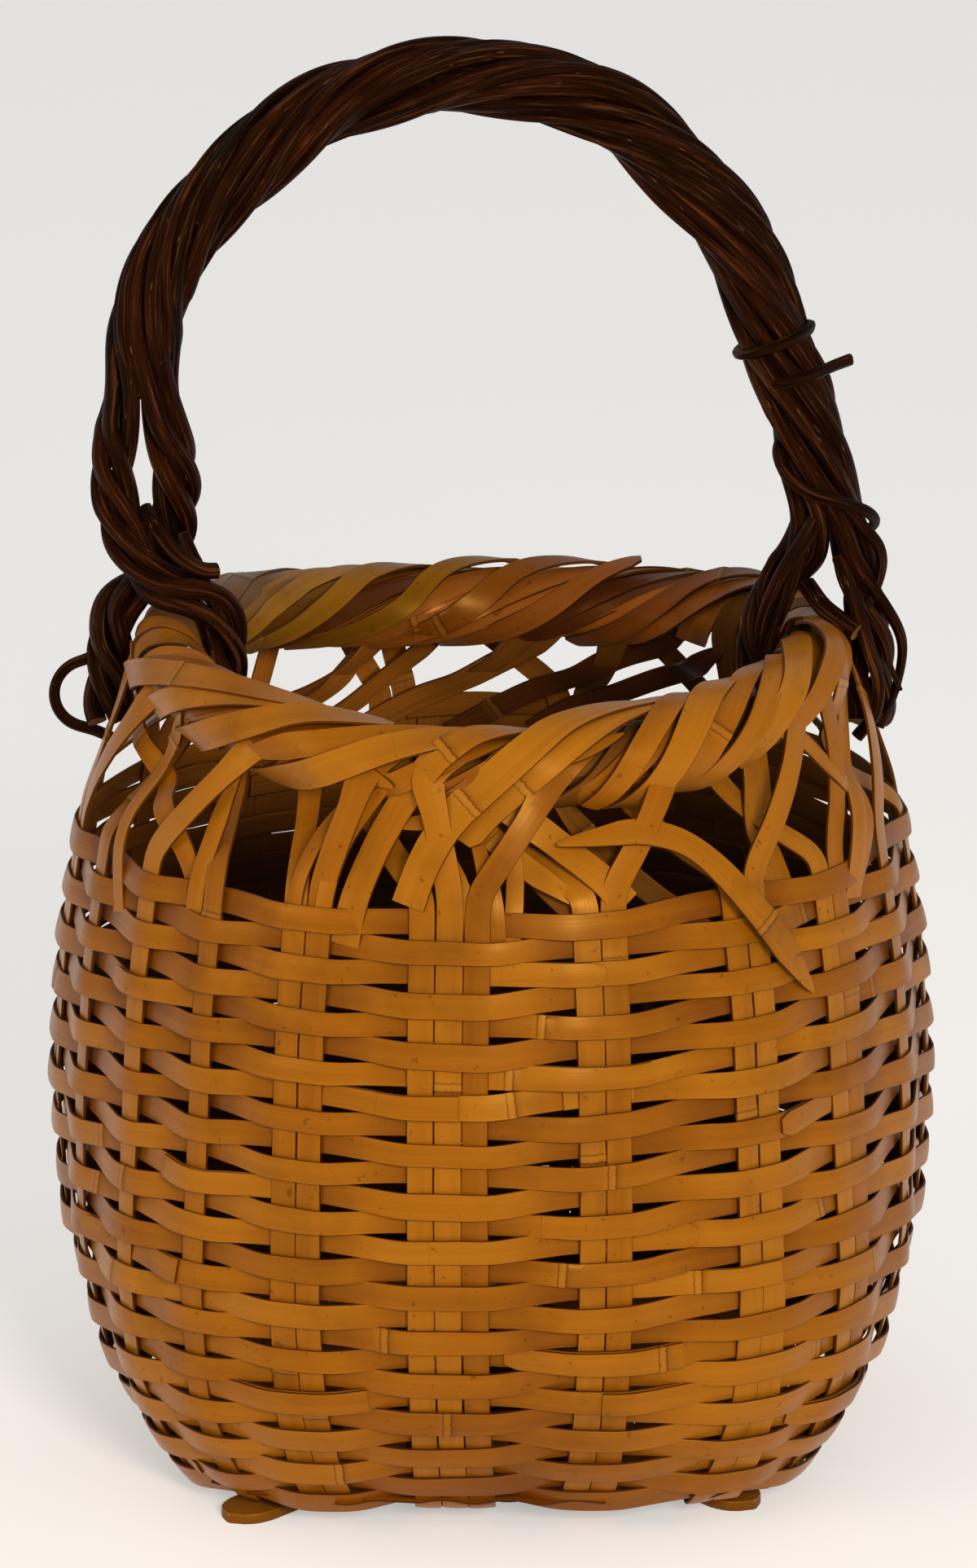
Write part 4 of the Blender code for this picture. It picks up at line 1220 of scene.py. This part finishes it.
@dataclass
class Weave:
    """The woven wall: the spiral weft and the stakes that it goes over and under."""

    bamboo: bpy.types.Material
    weft_thickness: float = 0.75 * MM
    stake_thickness: float = 0.85 * MM
    weft_step: float = 1.6 * MM
    stake_step: float = 1.7 * MM
    weft_slack: float = 3.5 * MM
    stake_slack: float = 3.0 * MM
    band_height: float = 171 * MM
    rim_slack: float = 1.5 * MM
    tone_spacing: float = 260 * MM
    spread_height: float = 70 * MM
    low_spread: float = 0.14
    back_spread: float = 0.10
    weft_dip: float = 0.7 * MM
    outness_reach: float = 30 * MM
    tones: tuple[float, float] = (0.05, 0.5)
    lap_length: float = 33 * MM
    lap_rise: float = 0.9 * MM
    lap_thickness: float = 0.7 * MM
    tucked_shade: float = 0.32
    lap_window: tuple[float, float] = (0.55, 1.45)
    lap_hidden: float = -0.6
    lap_spread: float = 0.98
    lap_tones: tuple[float, float] = (0.1, 0.4)
    lap_knot_spacing: float = 140 * MM
    shortest_lap: int = 4
    tucked_below: float = 0.2
    full_swing: float = 0.8
    back_reach: float = 60 * MM
    weft_spread: float = 1.15
    stake_spread: float = 1.05
    foot_height: float = 9 * MM
    routes: dict[str, Route] = field(default_factory=dict)

    def outness(self, route: Route) -> np.ndarray:
        """Tells where a weft strip passes over the stakes and where under them.

        Args:
            route: the strip's route.

        Returns:
            1 where it is over them, -1 where it is under them, and between these on its way.
        """
        reach = np.hypot(route.points[:, 0], route.points[:, 1])
        mean = soften(reach[:, None], self.outness_reach / self.weft_step)[:, 0]
        swing = reach - mean
        return np.clip(swing / np.quantile(np.abs(swing), self.full_swing), -1, 1)

    def weft(self) -> None:
        """Lays the weft strips."""
        for node in sorted(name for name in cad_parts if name.startswith("weft_")):
            number = int(node[-2:])
            route = strip_route(node, WEFT_SOLID_THICKNESS).evened(self.weft_step, self.weft_slack)
            low = np.clip(1 - route.points[:, 2] / self.spread_height, 0, 1)
            behind = np.clip(route.points[:, 1] / self.back_reach, 0, 1)
            route.widths *= self.weft_spread + self.low_spread * low + self.back_spread * behind
            route.points[:, 2] -= self.weft_dip * self.outness(route)
            self.routes[node] = route
            rng = np.random.default_rng(number)
            tones = tuple(rng.uniform(*self.tones, max(2, round(route.places()[-1] / self.tone_spacing))))
            strip = self.weft_strip(route, self.weft_thickness, number, tones=tones)
            # Painted shade: the weft is darker where it tucks under the stakes.
            strip.shade = self.tucked_shade * np.clip(self.tucked_below - self.outness(route), 0, 1)
            place_piece(f"bamboo_{node}", strip.mesh(node), self.bamboo, "bamboo", node)

    def weft_strip(self, route: Route, thickness: float, number: int, **more: float | tuple) -> Strip:
        """Makes a strip that sways and leans as the weft strip of that number does.

        Args:
            route: the strip's route.
            thickness: its thickness.
            number: the weft strip's number.
            more: its other values.

        Returns:
            The strip.
        """
        return Strip(route, thickness, LONG_STRIP_SEEDS * number, width_change=0.10, sway=0.5 * MM,
                     sway_period=32 * MM, lean=math.radians(6), tuck=math.radians(4), **more)

    def stakes(self) -> None:
        """Stands the stakes, each from rim to rim under the base."""
        nodes = sorted(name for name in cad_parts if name.startswith("stake_"))
        for number, node in enumerate(nodes):
            route = strip_route(node, STAKE_SOLID_THICKNESS)
            route = route.evened(self.stake_step, self.stake_slack, self.band_height, self.rim_slack)
            route.widths *= self.stake_spread
            self.routes[node] = route
            tone = float(np.random.default_rng(Seed.STAKE_TONES + number).uniform(*self.tones))
            strip = Strip(route, self.stake_thickness, Seed.STAKES + LONG_STRIP_SEEDS * number, sway=0.1 * MM,
                          width_change=0.04, knot_spacing=260 * MM, tones=(tone,))
            place_piece(f"bamboo_{node}", strip.mesh(node), self.bamboo, "bamboo", node)

    def laps(self) -> None:
        """Lays a second strip on the weft where a new length starts, from its cut end to behind a stake."""
        rows = {int(node[-2:]): route for node, route in self.routes.items() if node.startswith("weft_")}
        wall = self.wall()
        meshes = []
        for number, (degrees, height, way) in enumerate(LAPS):
            wanted, _ = wall.place(degrees, height, 0)
            gaps = {row: np.linalg.norm(route.points - wanted, axis=1) for row, route in rows.items()}
            row = min(rows, key=lambda at: gaps[at].min())
            end = int(gaps[row].argmin())
            near, far = (round(share * self.lap_length / self.weft_step) for share in self.lap_window)
            reachable = np.arange(near, far) * way + end
            reachable = reachable[(reachable > 0) & (reachable < len(rows[row].points) - 1)]
            if len(reachable) < self.shortest_lap:
                continue
            behind = reachable[self.outness(rows[row])[reachable] < self.lap_hidden]
            hidden = int(np.median(behind)) if len(behind) else int(reachable[-1])
            first, last = sorted((end, hidden))
            lap = rows[row].part(first, last)
            lap = Route(lap.points + lap.outward * self.lap_rise, lap.outward, lap.widths * self.lap_spread)
            tone = float(np.random.default_rng(Seed.LAP_TONES + number).uniform(*self.lap_tones))
            ends = CUT_ENDS[::-1] if way > 0 else CUT_ENDS
            strip = self.weft_strip(lap, self.lap_thickness, row, tones=(tone,), ends=ends,
                                    knot_spacing=self.lap_knot_spacing, start=rows[row].places()[first])
            meshes.append(strip.mesh("lap"))
        place_piece("bamboo_laps", joined_meshes("laps", meshes), self.bamboo, "bamboo")

    def wall(self) -> Wall:
        """The wall that the strips make."""
        points = np.vstack([route.points for route in self.routes.values()])
        return Wall(points[points[:, 2] > self.foot_height])

    def splints(self, hoop: Hoop, surfaces: dict[str, bpy.types.Material]) -> None:
        """Adds the loose and extra strips.

        Args:
            hoop: the rim that they go over.
            surfaces: the finishes by name.
        """
        wall = self.wall()
        meshes: dict[str, list[bpy.types.Mesh]] = {surface: [] for surface in surfaces}
        for number, splint in enumerate(SPLINTS):
            meshes[splint.surface].append(splint.mesh(wall, hoop, Seed.SPLINTS + SPLINT_SEEDS * number))
        for surface, parts in meshes.items():
            mesh = joined_meshes("splints", parts)
            place_piece(f"bamboo_splints_{surface}", mesh, surfaces[surface], "bamboo")


@dataclass
class Base:
    """The two slats crossed under the basket, and the plaiting that fills the base between the stakes."""

    scraped: bpy.types.Material
    plaiting: bpy.types.Material
    step: float = 1.5 * MM
    mat_half_width: float = 82 * MM
    mat_height: float = 6.4 * MM
    mat_count: int = 21
    mat_wave: float = 0.5 * MM
    mat_edge: float = 4.5 * MM
    mat_lift: float = 3 * MM
    mat_lift_reach: float = 12 * MM
    mat_span: float = 1.3
    mat_fill: float = 0.985
    mat_thickness: float = 0.6 * MM
    mat_tone: float = 0.6
    fewest_places: int = 12
    wall_height: float = 9 * MM
    slat_reach: float = 1.12
    slat_turns: tuple[float, float] = (math.radians(4), 0.0)
    slat_slack: float = 0.8 * MM

    def mat(self, wall: Wall) -> None:
        """Plaits the base closed, up to the wall.

        Args:
            wall: the basket's wall.
        """
        meshes = []
        gap = 2 * self.mat_half_width / (self.mat_count - 1)
        reach = self.mat_span * self.mat_half_width
        for way in (0, 1):
            for number in range(self.mat_count):
                aside = number * gap - self.mat_half_width
                along = np.arange(-reach, reach, self.step)
                wave = np.sin(math.pi * (along + self.mat_half_width) / gap + math.pi * (number + way))
                level = self.mat_height + self.mat_wave * wave
                points = np.column_stack([along, np.full_like(along, aside), level])
                points = points[:, [1, 0, 2]] if way else points
                free = np.array([wall.radius(math.atan2(x, -y), self.wall_height) - math.hypot(x, y)
                                 for x, y, _ in points]) - self.mat_edge
                if (free > 0).sum() < self.fewest_places:
                    continue
                points = points[free > 0]
                points[:, 2] += self.mat_lift * np.clip(1 - free[free > 0] / self.mat_lift_reach, 0, 1) ** 2
                upward = np.tile((0.0, 0.0, 1.0), (len(points), 1))
                route = Route(points, upward, np.full(len(points), self.mat_fill * gap))
                seed = Seed.BASE_MAT + MAT_SEEDS * way + number
                meshes.append(Strip(route, self.mat_thickness, seed, tones=(self.mat_tone,)).mesh("mat"))
        place_piece("bamboo_base_mat", joined_meshes("base_mat", meshes), self.plaiting, "bamboo")

    def slats(self) -> None:
        """Lays the slats, longer than their solids, with the lower one turned: its round end shows."""
        for number, node in enumerate(("base_slat_lower", "base_slat_upper")):
            route = strip_route(node, SLAT_SOLID_THICKNESS).evened(self.step, self.slat_slack)
            cosine, sine = math.cos(self.slat_turns[number]), math.sin(self.slat_turns[number])
            turn = np.array(((cosine, sine), (-sine, cosine)))
            route.points[:, :2] = route.points[:, :2] @ turn * self.slat_reach
            strip = Strip(route, SLAT_SOLID_THICKNESS, Seed.SLATS + number, crown=0.0, sway=0.0, lean=0.0,
                          width_change=0.02, knot_rise=0.0, tones=(0.15,))
            place_piece(f"bamboo_{node}", strip.mesh(node), self.scraped, "bamboo_dark", node)


@dataclass(frozen=True)
class WrapRun:
    """A run of strips laid round the rim side by side.

    First, last and sweep are degrees round the basket, and the phases are degrees round the rim's section.
    """

    surface: str
    first: float
    last: float
    count: int
    sweep: float
    start_phase: float
    end_phase: float
    width: float
    tones: tuple[float, float] = (0.05, 0.75)
    reach: float = 9.5 * MM


# The first runs fill the rim under the front's sweeps; the last ones are seen from inside, at the back
WRAP_RUNS = (
    WrapRun("smoked", -84, -46, 5, 44, -40, 150, 6.4 * MM, (0.3, 0.8), 9.0 * MM),
    WrapRun("smoked", -32, -12, 3, 36, -50, 160, 7.0 * MM, (0.4, 0.9), 8.9 * MM),
    WrapRun("smoked", 10, 46, 4, 30, -55, 165, 7.2 * MM, (0.4, 0.9), 8.9 * MM),
    WrapRun("smoked", 56, 72, 2, 22, -20, 150, 7.0 * MM, (0.3, 0.7), 9.2 * MM),
    WrapRun("reddish", 96, 124, 5, 62, 20, 235, 6.8 * MM, (0.0, 1.0)),
    WrapRun("reddish", 130, 164, 7, 74, 20, 250, 6.8 * MM, (0.0, 1.0), 10.0 * MM),
    WrapRun("olive", 170, 214, 9, 84, 15, 250, 6.6 * MM, (0.0, 0.9), 10.2 * MM),
)


@dataclass
class Rim:
    """The hoop in the rim and the strips laid round it."""

    dark: bpy.types.Material
    surfaces: dict[str, bpy.types.Material]
    radius: float = 4.7 * MM
    tuck_depth: float = 2.4 * MM
    tuck_share: float = 0.22
    wrap_thickness: float = 0.9 * MM
    wrap_places: int = 60
    wrap_step: float = 1.6 * MM
    wrap_slack: float = 1 * MM
    wrap_stray: float = 3.0
    wrap_lift: tuple[float, float] = (-0.4, 0.8)
    wrap_spread: tuple[float, float] = (0.8, 1.12)
    wrap_seeds: int = 1_000_000

    def hoop(self) -> Hoop:
        """The rim's middle line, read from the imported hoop."""
        return Hoop(tube_line("rim_core", self.radius)[0])

    def core(self) -> None:
        """Builds the hoop that the stake ends are wound round."""
        line, closed = tube_line("rim_core", self.radius)
        vine = Vine(line, self.radius, Seed.RIM_CORE, closed=closed, step=2 * MM, sides=16, tone=0.7)
        place_piece("bamboo_rim_core", vine.mesh("rim_core"), self.dark, "bamboo_dark", "rim_core")

    def wrap_route(self, run: WrapRun, start: float, hoop: Hoop) -> Route:
        """One strip's route round the rim.

        Args:
            run: the run that it belongs to.
            start: where it starts, in degrees from the front.
            hoop: the rim's middle line.

        Returns:
            The route, tucked under its neighbours at both ends.
        """
        share = np.linspace(0, 1, self.wrap_places)
        tuck = np.clip(np.minimum(share, 1 - share) / self.tuck_share, 0, 1)
        reach = run.reach - self.tuck_depth * (1 - np.sin(tuck * math.pi / 2))
        points, outward = hoop.places(start + run.sweep * share,
                                      run.start_phase + (run.end_phase - run.start_phase) * share, reach)
        return Route(points, outward, np.full(self.wrap_places, run.width))

    def wraps(self) -> None:
        """Lays the extra strips that make the rim full."""
        hoop = self.hoop()
        meshes: dict[str, list[bpy.types.Mesh]] = {surface: [] for surface in self.surfaces}
        for number, run in enumerate(WRAP_RUNS):
            rng = np.random.default_rng(Seed.WRAPS + number)
            for start in np.linspace(run.first, run.last, run.count):
                route = self.wrap_route(run, start + rng.uniform(-self.wrap_stray, self.wrap_stray), hoop)
                route.points += route.outward * rng.uniform(*self.wrap_lift) * MM
                route.widths *= rng.uniform(*self.wrap_spread)
                route = route.evened(self.wrap_step, self.wrap_slack)
                seed = int(rng.integers(self.wrap_seeds))
                strip = Strip(route, self.wrap_thickness, seed, width_change=0.1, lean=math.radians(9),
                              tones=(rng.uniform(*run.tones),), ends=BOTH_SLANTED)
                meshes[run.surface].append(strip.mesh("wrap"))
        for surface, parts in meshes.items():
            mesh = joined_meshes("rim_wraps", parts)
            place_piece(f"bamboo_rim_wraps_{surface}", mesh, self.surfaces[surface], "bamboo")


@dataclass(frozen=True)
class Tendril:
    """A thin vine by itself, through places in mm."""

    name: str
    places: tuple[tuple[float, float, float], ...]
    radius: float = 1.3 * MM
    taper: tuple[float, float] = (1.0, 0.7)
    tone: float = 0.4
    finer_by: int = 12

    def mesh(self, seed: int) -> bpy.types.Mesh:
        """Builds the tendril.

        Args:
            seed: which unevenness.

        Returns:
            Its mesh.
        """
        line = np.array(self.places) * MM
        lengths = lengths_along(line)
        line = flowing(line, lengths, np.linspace(0, lengths[-1], self.finer_by * len(line)))
        return Vine(line, self.radius, seed, step=1 * MM, sides=12, slack=1 * MM, taper=self.taper,
                    tone=self.tone).mesh(self.name)


# Thin vines that stray from the twist; those that taper do so towards their last place
TENDRILS = (
    Tendril("right_collar", ((82, 3, 266), (76, 5, 264), (72.5, -3, 259), (74.5, -8.5, 254),
                             (79.5, -10.5, 250.5), (87.5, -11, 248), (94.5, -8, 245), (97, -2, 241),
                             (94, 4, 236)), 1.8 * MM),
    Tendril("right_bulge", ((86, -4, 250), (92, -9, 243), (98, -7, 235), (98, -3, 226), (93, -6, 217),
                            (88, -9, 210)), 1.6 * MM),
    Tendril("right_inner", ((84, -4, 246), (79, -8, 238), (73.5, -8, 229), (69, -7, 218), (67.5, -5, 205),
                            (67, -3, 190)), 2.1 * MM),
    Tendril("right_inner_thin", ((80, 2, 238), (74, -8, 224), (71, -9, 214), (67, -7, 203), (66, -5, 194)),
            1.1 * MM),
    Tendril("right_outer", ((90, -3, 232), (99, -6, 221), (104, -5, 211), (103, -4, 199), (99, -4, 188)),
            1.5 * MM),
    Tendril("right_hanging", ((88, -4, 232), (92, -11, 221), (95.3, -13.5, 210.5), (97.7, -14, 202),
                              (97, -14.5, 194.5), (92.4, -14, 188)), 1.9 * MM, (1.0, 0.9)),
    Tendril("right_stray_end", ((88, -4, 230), (94, -9, 220), (99, -10, 212), (101, -9, 205),
                                (103.5, -10, 199)), 1.2 * MM, (1.0, 0.6)),
    Tendril("right_cut_end", ((80, 0, 224), (84, -8, 220), (88, -11.5, 217.5), (92, -14, 215)), 2.2 * MM,
            (1.0, 1.0)),
    Tendril("left_knob", ((-88, 2, 243), (-84, -6, 239), (-78, -10, 233), (-73, -10, 230),
                          (-69.5, -8, 229.5)), 2.1 * MM, (1.0, 0.85)),
    Tendril("left_inner", ((-78, -3, 238), (-72, -9, 226), (-67.5, -10, 216), (-65, -9, 205),
                           (-66.5, -7, 192)), 1.5 * MM),
    Tendril("wrap_end", ((70, -2, 276), (72, -8, 277.5), (80, -9.5, 280), (86, -6, 282), (90, -3.5, 283)),
            1.5 * MM, (1.0, 0.95)),
)


# How the stray vine leaves the leg, how much lower it hangs and where its tip goes back in
STRAY_ROOT = np.array((6, 2, 8)) * MM
STRAY_SAG = np.array((0.5, -1, -4)) * MM
STRAY_TIP = np.array((9, -4, -3)) * MM


@dataclass
class Handle:
    """The twisted vine handle."""

    bark: bpy.types.Material
    vine_radius: float = 2.15 * MM
    core_radius: float = 4.0 * MM
    ring_radius: float = 1.1 * MM
    stray_radius: float = 1.6 * MM
    groove_radius: float = 1.5 * MM
    groove_rise: float = 2.4 * MM
    fullness: float = 1.14
    rim_reach: float = 83 * MM
    fork_heights: dict[int, float] = field(default_factory=lambda: {-1: 268 * MM, 1: 236 * MM})
    extra_twist: float = math.tau / (120 * MM)
    ring_squeeze: float = 0.9
    ring_fullness: float = 1.2
    vine_stray: float = 0.8 * MM
    tones: tuple[float, float] = (0.1, 0.9)
    grooves: tuple[tuple[int, float], ...] = ((1, 0.9), (3, 0.75), (4, 0.95), (6, 0.8), (8, 0.7))
    groove_starts: tuple[float, float] = (0.2, 0.8)
    groove_tuck: float = 3 * MM
    vine_count: int = 8

    def vine_lines(self) -> dict[int, np.ndarray]:
        """The twisted vines' middle lines by number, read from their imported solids."""
        return {number: tube_line(f"handle_vine_{number}", self.vine_radius)[0]
                for number in range(1, self.vine_count + 1)}

    def wound(self, lines: dict[int, np.ndarray], side: int) -> dict[int, np.ndarray]:
        """Twists the vines of each leg on one side more tightly about each other.

        Args:
            lines: the vines' middle lines by number, from left to right.
            side: -1 for the left legs, 1 for the right ones.

        Returns:
            The lines, with the same ends' heights and the same girth of each leg.
        """
        ends = {number: line[0] if side < 0 else line[-1] for number, line in lines.items()}
        legs = [[number for number in lines if (abs(ends[number][0]) > self.rim_reach) == outer]
                for outer in (True, False)]
        result = dict(lines)
        for leg in legs:
            for number in leg:
                line = lines[number]
                centres = np.array([np.mean([lines[one][np.linalg.norm(lines[one] - point, axis=1).argmin()]
                                             for one in leg], axis=0) for point in line])
                along = unit(np.gradient(centres, axis=0) + NUDGE)
                low = (line[:, 0] * side > 0) & (line[:, 2] < self.fork_heights[side])
                fork_gap = np.where(low, self.fork_heights[side] - line[:, 2], 0.0)
                turn = self.extra_twist * fork_gap * -side
                offset = line - centres
                across = np.cross(along, offset)
                wound = centres + offset * np.cos(turn)[:, None] + across * np.sin(turn)[:, None]
                result[number] = np.where(low[:, None], wound, line)
        return result

    def vines(self) -> None:
        """Lays the eight vines and the thicker one that they go round."""
        lines = self.wound(self.wound(self.vine_lines(), -1), 1)
        for number, line in lines.items():
            node = f"handle_vine_{number}"
            tone = float(np.random.default_rng(Seed.VINE_TONES + number).uniform(*self.tones))
            vine = Vine(line, self.vine_radius * self.fullness, Seed.VINES + VINE_SEEDS * number,
                        stray=self.vine_stray, tone=tone)
            place_piece(f"bark_{node}", vine.mesh(node), self.bark, "vine", node)
        line, _ = tube_line("handle_core_vine", self.core_radius)
        vine = Vine(line, self.core_radius, Seed.CORE_VINE, step=2.5 * MM, tone=0.2)
        place_piece("bark_handle_core_vine", vine.mesh("core"), self.bark, "vine", "handle_core_vine")

    def tendrils(self) -> None:
        """Adds the thin vines that lie in the grooves of the twist, and the ones that stray."""
        lines = self.vine_lines()
        core, _ = tube_line("handle_core_vine", self.core_radius)
        meshes = [tendril.mesh(Seed.TENDRILS + VINE_SEEDS * at) for at, tendril in enumerate(TENDRILS)]
        for number, (first, share) in enumerate(self.grooves):
            second = first % self.vine_count + 1
            rng = np.random.default_rng(Seed.GROOVES + number)
            start = int((1 - share) * rng.uniform(*self.groove_starts) * len(core))
            middles = core[start:start + int(share * len(core))]
            pair = [[line[np.linalg.norm(line - middle, axis=1).argmin()] for middle in middles]
                    for line in (lines[first], lines[second])]
            groove = np.mean(pair, axis=0)
            out = unit(groove - middles)
            groove = groove + out * self.groove_rise
            for end in (0, -1):
                groove[end] -= out[end] * self.groove_tuck
            vine = Vine(groove, self.groove_radius, Seed.GROOVE_VINES + VINE_SEEDS * number,
                        stray=self.vine_stray, tone=float(rng.uniform(*self.tones)))
            meshes.append(vine.mesh("groove_vine"))
        place_piece("bark_tendrils", joined_meshes("tendrils", meshes), self.bark, "vine")

    def ties(self) -> None:
        """Winds the binding strand and the stray one."""
        line, closed = tube_line("handle_wrap", self.ring_radius)
        line = line.mean(0) + (line - line.mean(0)) * self.ring_squeeze
        ring = Vine(line, self.ring_radius * self.ring_fullness, Seed.BINDING, closed=closed, step=0.8 * MM,
                    sides=12, tone=0.35)
        place_piece("bark_handle_wrap", ring.mesh("wrap"), self.bark, "vine", "handle_wrap")
        line, _ = tube_line("handle_stray_vine", self.stray_radius)
        line = line if line[0, 2] > line[-1, 2] else line[::-1]
        line = np.vstack([line[0] + STRAY_ROOT, line + STRAY_SAG, line[-1] + STRAY_SAG + STRAY_TIP])
        stray = Vine(line, self.stray_radius, Seed.STRAY_VINE, step=0.8 * MM, sides=12, slack=2 * MM,
                     tone=0.35)
        place_piece("bark_handle_stray_vine", stray.mesh("stray"), self.bark, "vine", "handle_stray_vine")


@dataclass(frozen=True)
class Studio:
    """A plain pale floor, soft lamps and the camera at the photograph's viewing angle."""

    floor_colour: str = "F3F1EC"
    floor_glow: float = 0.41
    floor_half_width: float = 8.0
    floor_roughness: float = 0.9
    floor_gloss: float = 0.2
    lamp_aim: tuple[float, float, float] = (0.0, 0.0, 160 * MM)
    world_light: float = 0.38
    camera_back: float = 1600 * MM
    camera_height: float = 589 * MM
    camera_pitch: float = 0.255
    focal_pixels: float = 7934.0
    frame_pixels: int = 1925
    middle_pixels: float = 4.0
    sensor: float = 36.0
    clip: tuple[float, float] = (50 * MM, 50.0)

    def floor(self) -> None:
        """Lays the floor."""
        bm = bmesh.new()
        bmesh.ops.create_grid(bm, x_segments=1, y_segments=1, size=self.floor_half_width)
        mesh = bpy.data.meshes.new("studio_floor")
        bm.to_mesh(mesh)
        bm.free()
        surface, tree, shader = new_surface("matt_paper")
        shader.inputs["Base Color"].default_value = linear(self.floor_colour)
        shader.inputs["Roughness"].default_value = self.floor_roughness
        shader.inputs["Specular IOR Level"].default_value = self.floor_gloss
        # The paper shows paler to the camera than the light on it makes it, and lights nothing more.
        seen = add_node(tree, "LightPath")
        direct = add_node(tree, "Math", {"operation": "MAXIMUM"},
                          {0: seen.outputs["Is Camera Ray"], 1: seen.outputs["Is Glossy Ray"]})
        glow = add_node(tree, "Math", {"operation": "MULTIPLY", 1: self.floor_glow}, {0: direct.outputs[0]})
        shader.inputs["Emission Color"].default_value = (1, 1, 1, 1)
        tree.links.new(glow.outputs[0], shader.inputs["Emission Strength"])
        mesh.materials.append(surface)
        floor = bpy.data.objects.new("studio_floor", mesh)
        bpy.context.scene.collection.objects.link(floor)

    def lamp(self, name: str, place: tuple[float, float, float], size: float, power: float,
             colour: str) -> None:
        """Hangs a soft square lamp that faces the basket.

        Args:
            name: the lamp's name.
            place: where it hangs.
            size: its side.
            power: in watts.
            colour: sRGB hex.
        """
        data = bpy.data.lights.new(name, "AREA")
        data.size = size
        data.energy = power
        data.color = linear(colour)[:3]
        lamp = bpy.data.objects.new(name, data)
        lamp.location = place
        aim = Vector(self.lamp_aim) - Vector(place)
        lamp.rotation_euler = aim.to_track_quat("-Z", "Y").to_euler()
        bpy.context.scene.collection.objects.link(lamp)

    def lights(self) -> None:
        """Lights the basket at a plain level."""
        self.lamp("key_lamp", (0.4, -1.65, 0.75), 0.4, 17.5, "FFF4E4")
        self.lamp("left_lamp", (-1.4, -0.9, 0.7), 0.6, 4.0, "FFE6CC")
        world = bpy.data.worlds.new("studio_world")
        world.use_nodes = True
        background = world.node_tree.nodes["Background"]
        background.inputs["Color"].default_value = (1, 1, 1, 1)
        background.inputs["Strength"].default_value = self.world_light
        bpy.context.scene.world = world

    def camera(self) -> None:
        """Sets the camera."""
        data = bpy.data.cameras.new("camera")
        data.sensor_fit = "VERTICAL"
        data.sensor_height = self.sensor
        data.lens = self.sensor * self.focal_pixels / self.frame_pixels
        data.shift_x = -self.middle_pixels / self.frame_pixels
        data.clip_start, data.clip_end = self.clip
        camera = bpy.data.objects.new("camera", data)
        camera.location = (0, -self.camera_back, self.camera_height)
        camera.rotation_euler = (math.pi / 2 - self.camera_pitch, 0, 0)
        bpy.context.scene.collection.objects.link(camera)
        bpy.context.scene.camera = camera


def main() -> None:
    """Builds the basket's looks and the studio."""
    logging.basicConfig(level=logging.INFO, format="%(name)s %(message)s")
    scene = bpy.context.scene
    scene.view_settings.view_transform = "Standard"
    # Each bamboo's sixth colour is its pith in painted shade low down.
    bamboo = SmokedBamboo("smoked_split_bamboo", "B47118", "A3600D", "804308", "A4611C", "3A1B05", "451C06",
                          "431C06").build()
    olive = SmokedBamboo("olive_split_bamboo", "A26C18", "8A580A", "6A3E08", "8A5A1C", "5E3009", "3A1C06",
                         "4A2C08", gloss=0.6, gloss_tint="F0B448", skin_roughness=0.22).build()
    reddish = SmokedBamboo("reddish_split_bamboo", "9C571A", "7E410E", "52260A", "6A3410", "5E3009", "240C02",
                           "3A1A06", gloss=0.55, gloss_tint="F0A860", skin_roughness=0.24).build()
    dark_bamboo = SmokedBamboo("dark_smoked_bamboo", "9A5F18", "84500F", "6B3C0A", "6A3C10", "3A1C0A",
                               "3C1C08", "3A1C08").build()
    scraped = SmokedBamboo("scraped_bamboo", "A96C1C", "9A6014", "83480C", "8A5416", "8A5416", "7A4810",
                           "431C06").build()
    # The third colour, for rubbed ridge tops, is also a painted highlight, and the fourth, for the cracks, is
    # partly painted shade.
    bark = VineBark("dried_vine_bark", "0B0401", "2B0F05", "6E4024", "020000", "8A6238").build()
    rim = Rim(dark_bamboo, {"smoked": bamboo, "olive": olive, "reddish": reddish})
    weave = Weave(bamboo)
    weave.weft()
    weave.stakes()
    weave.laps()
    weave.splints(rim.hoop(), rim.surfaces)
    base = Base(scraped, bamboo)
    base.slats()
    base.mat(weave.wall())
    rim.core()
    rim.wraps()
    handle = Handle(bark)
    handle.vines()
    handle.ties()
    handle.tendrils()
    studio = Studio()
    studio.floor()
    studio.lights()
    studio.camera()


if __name__ == "__main__":
    main()
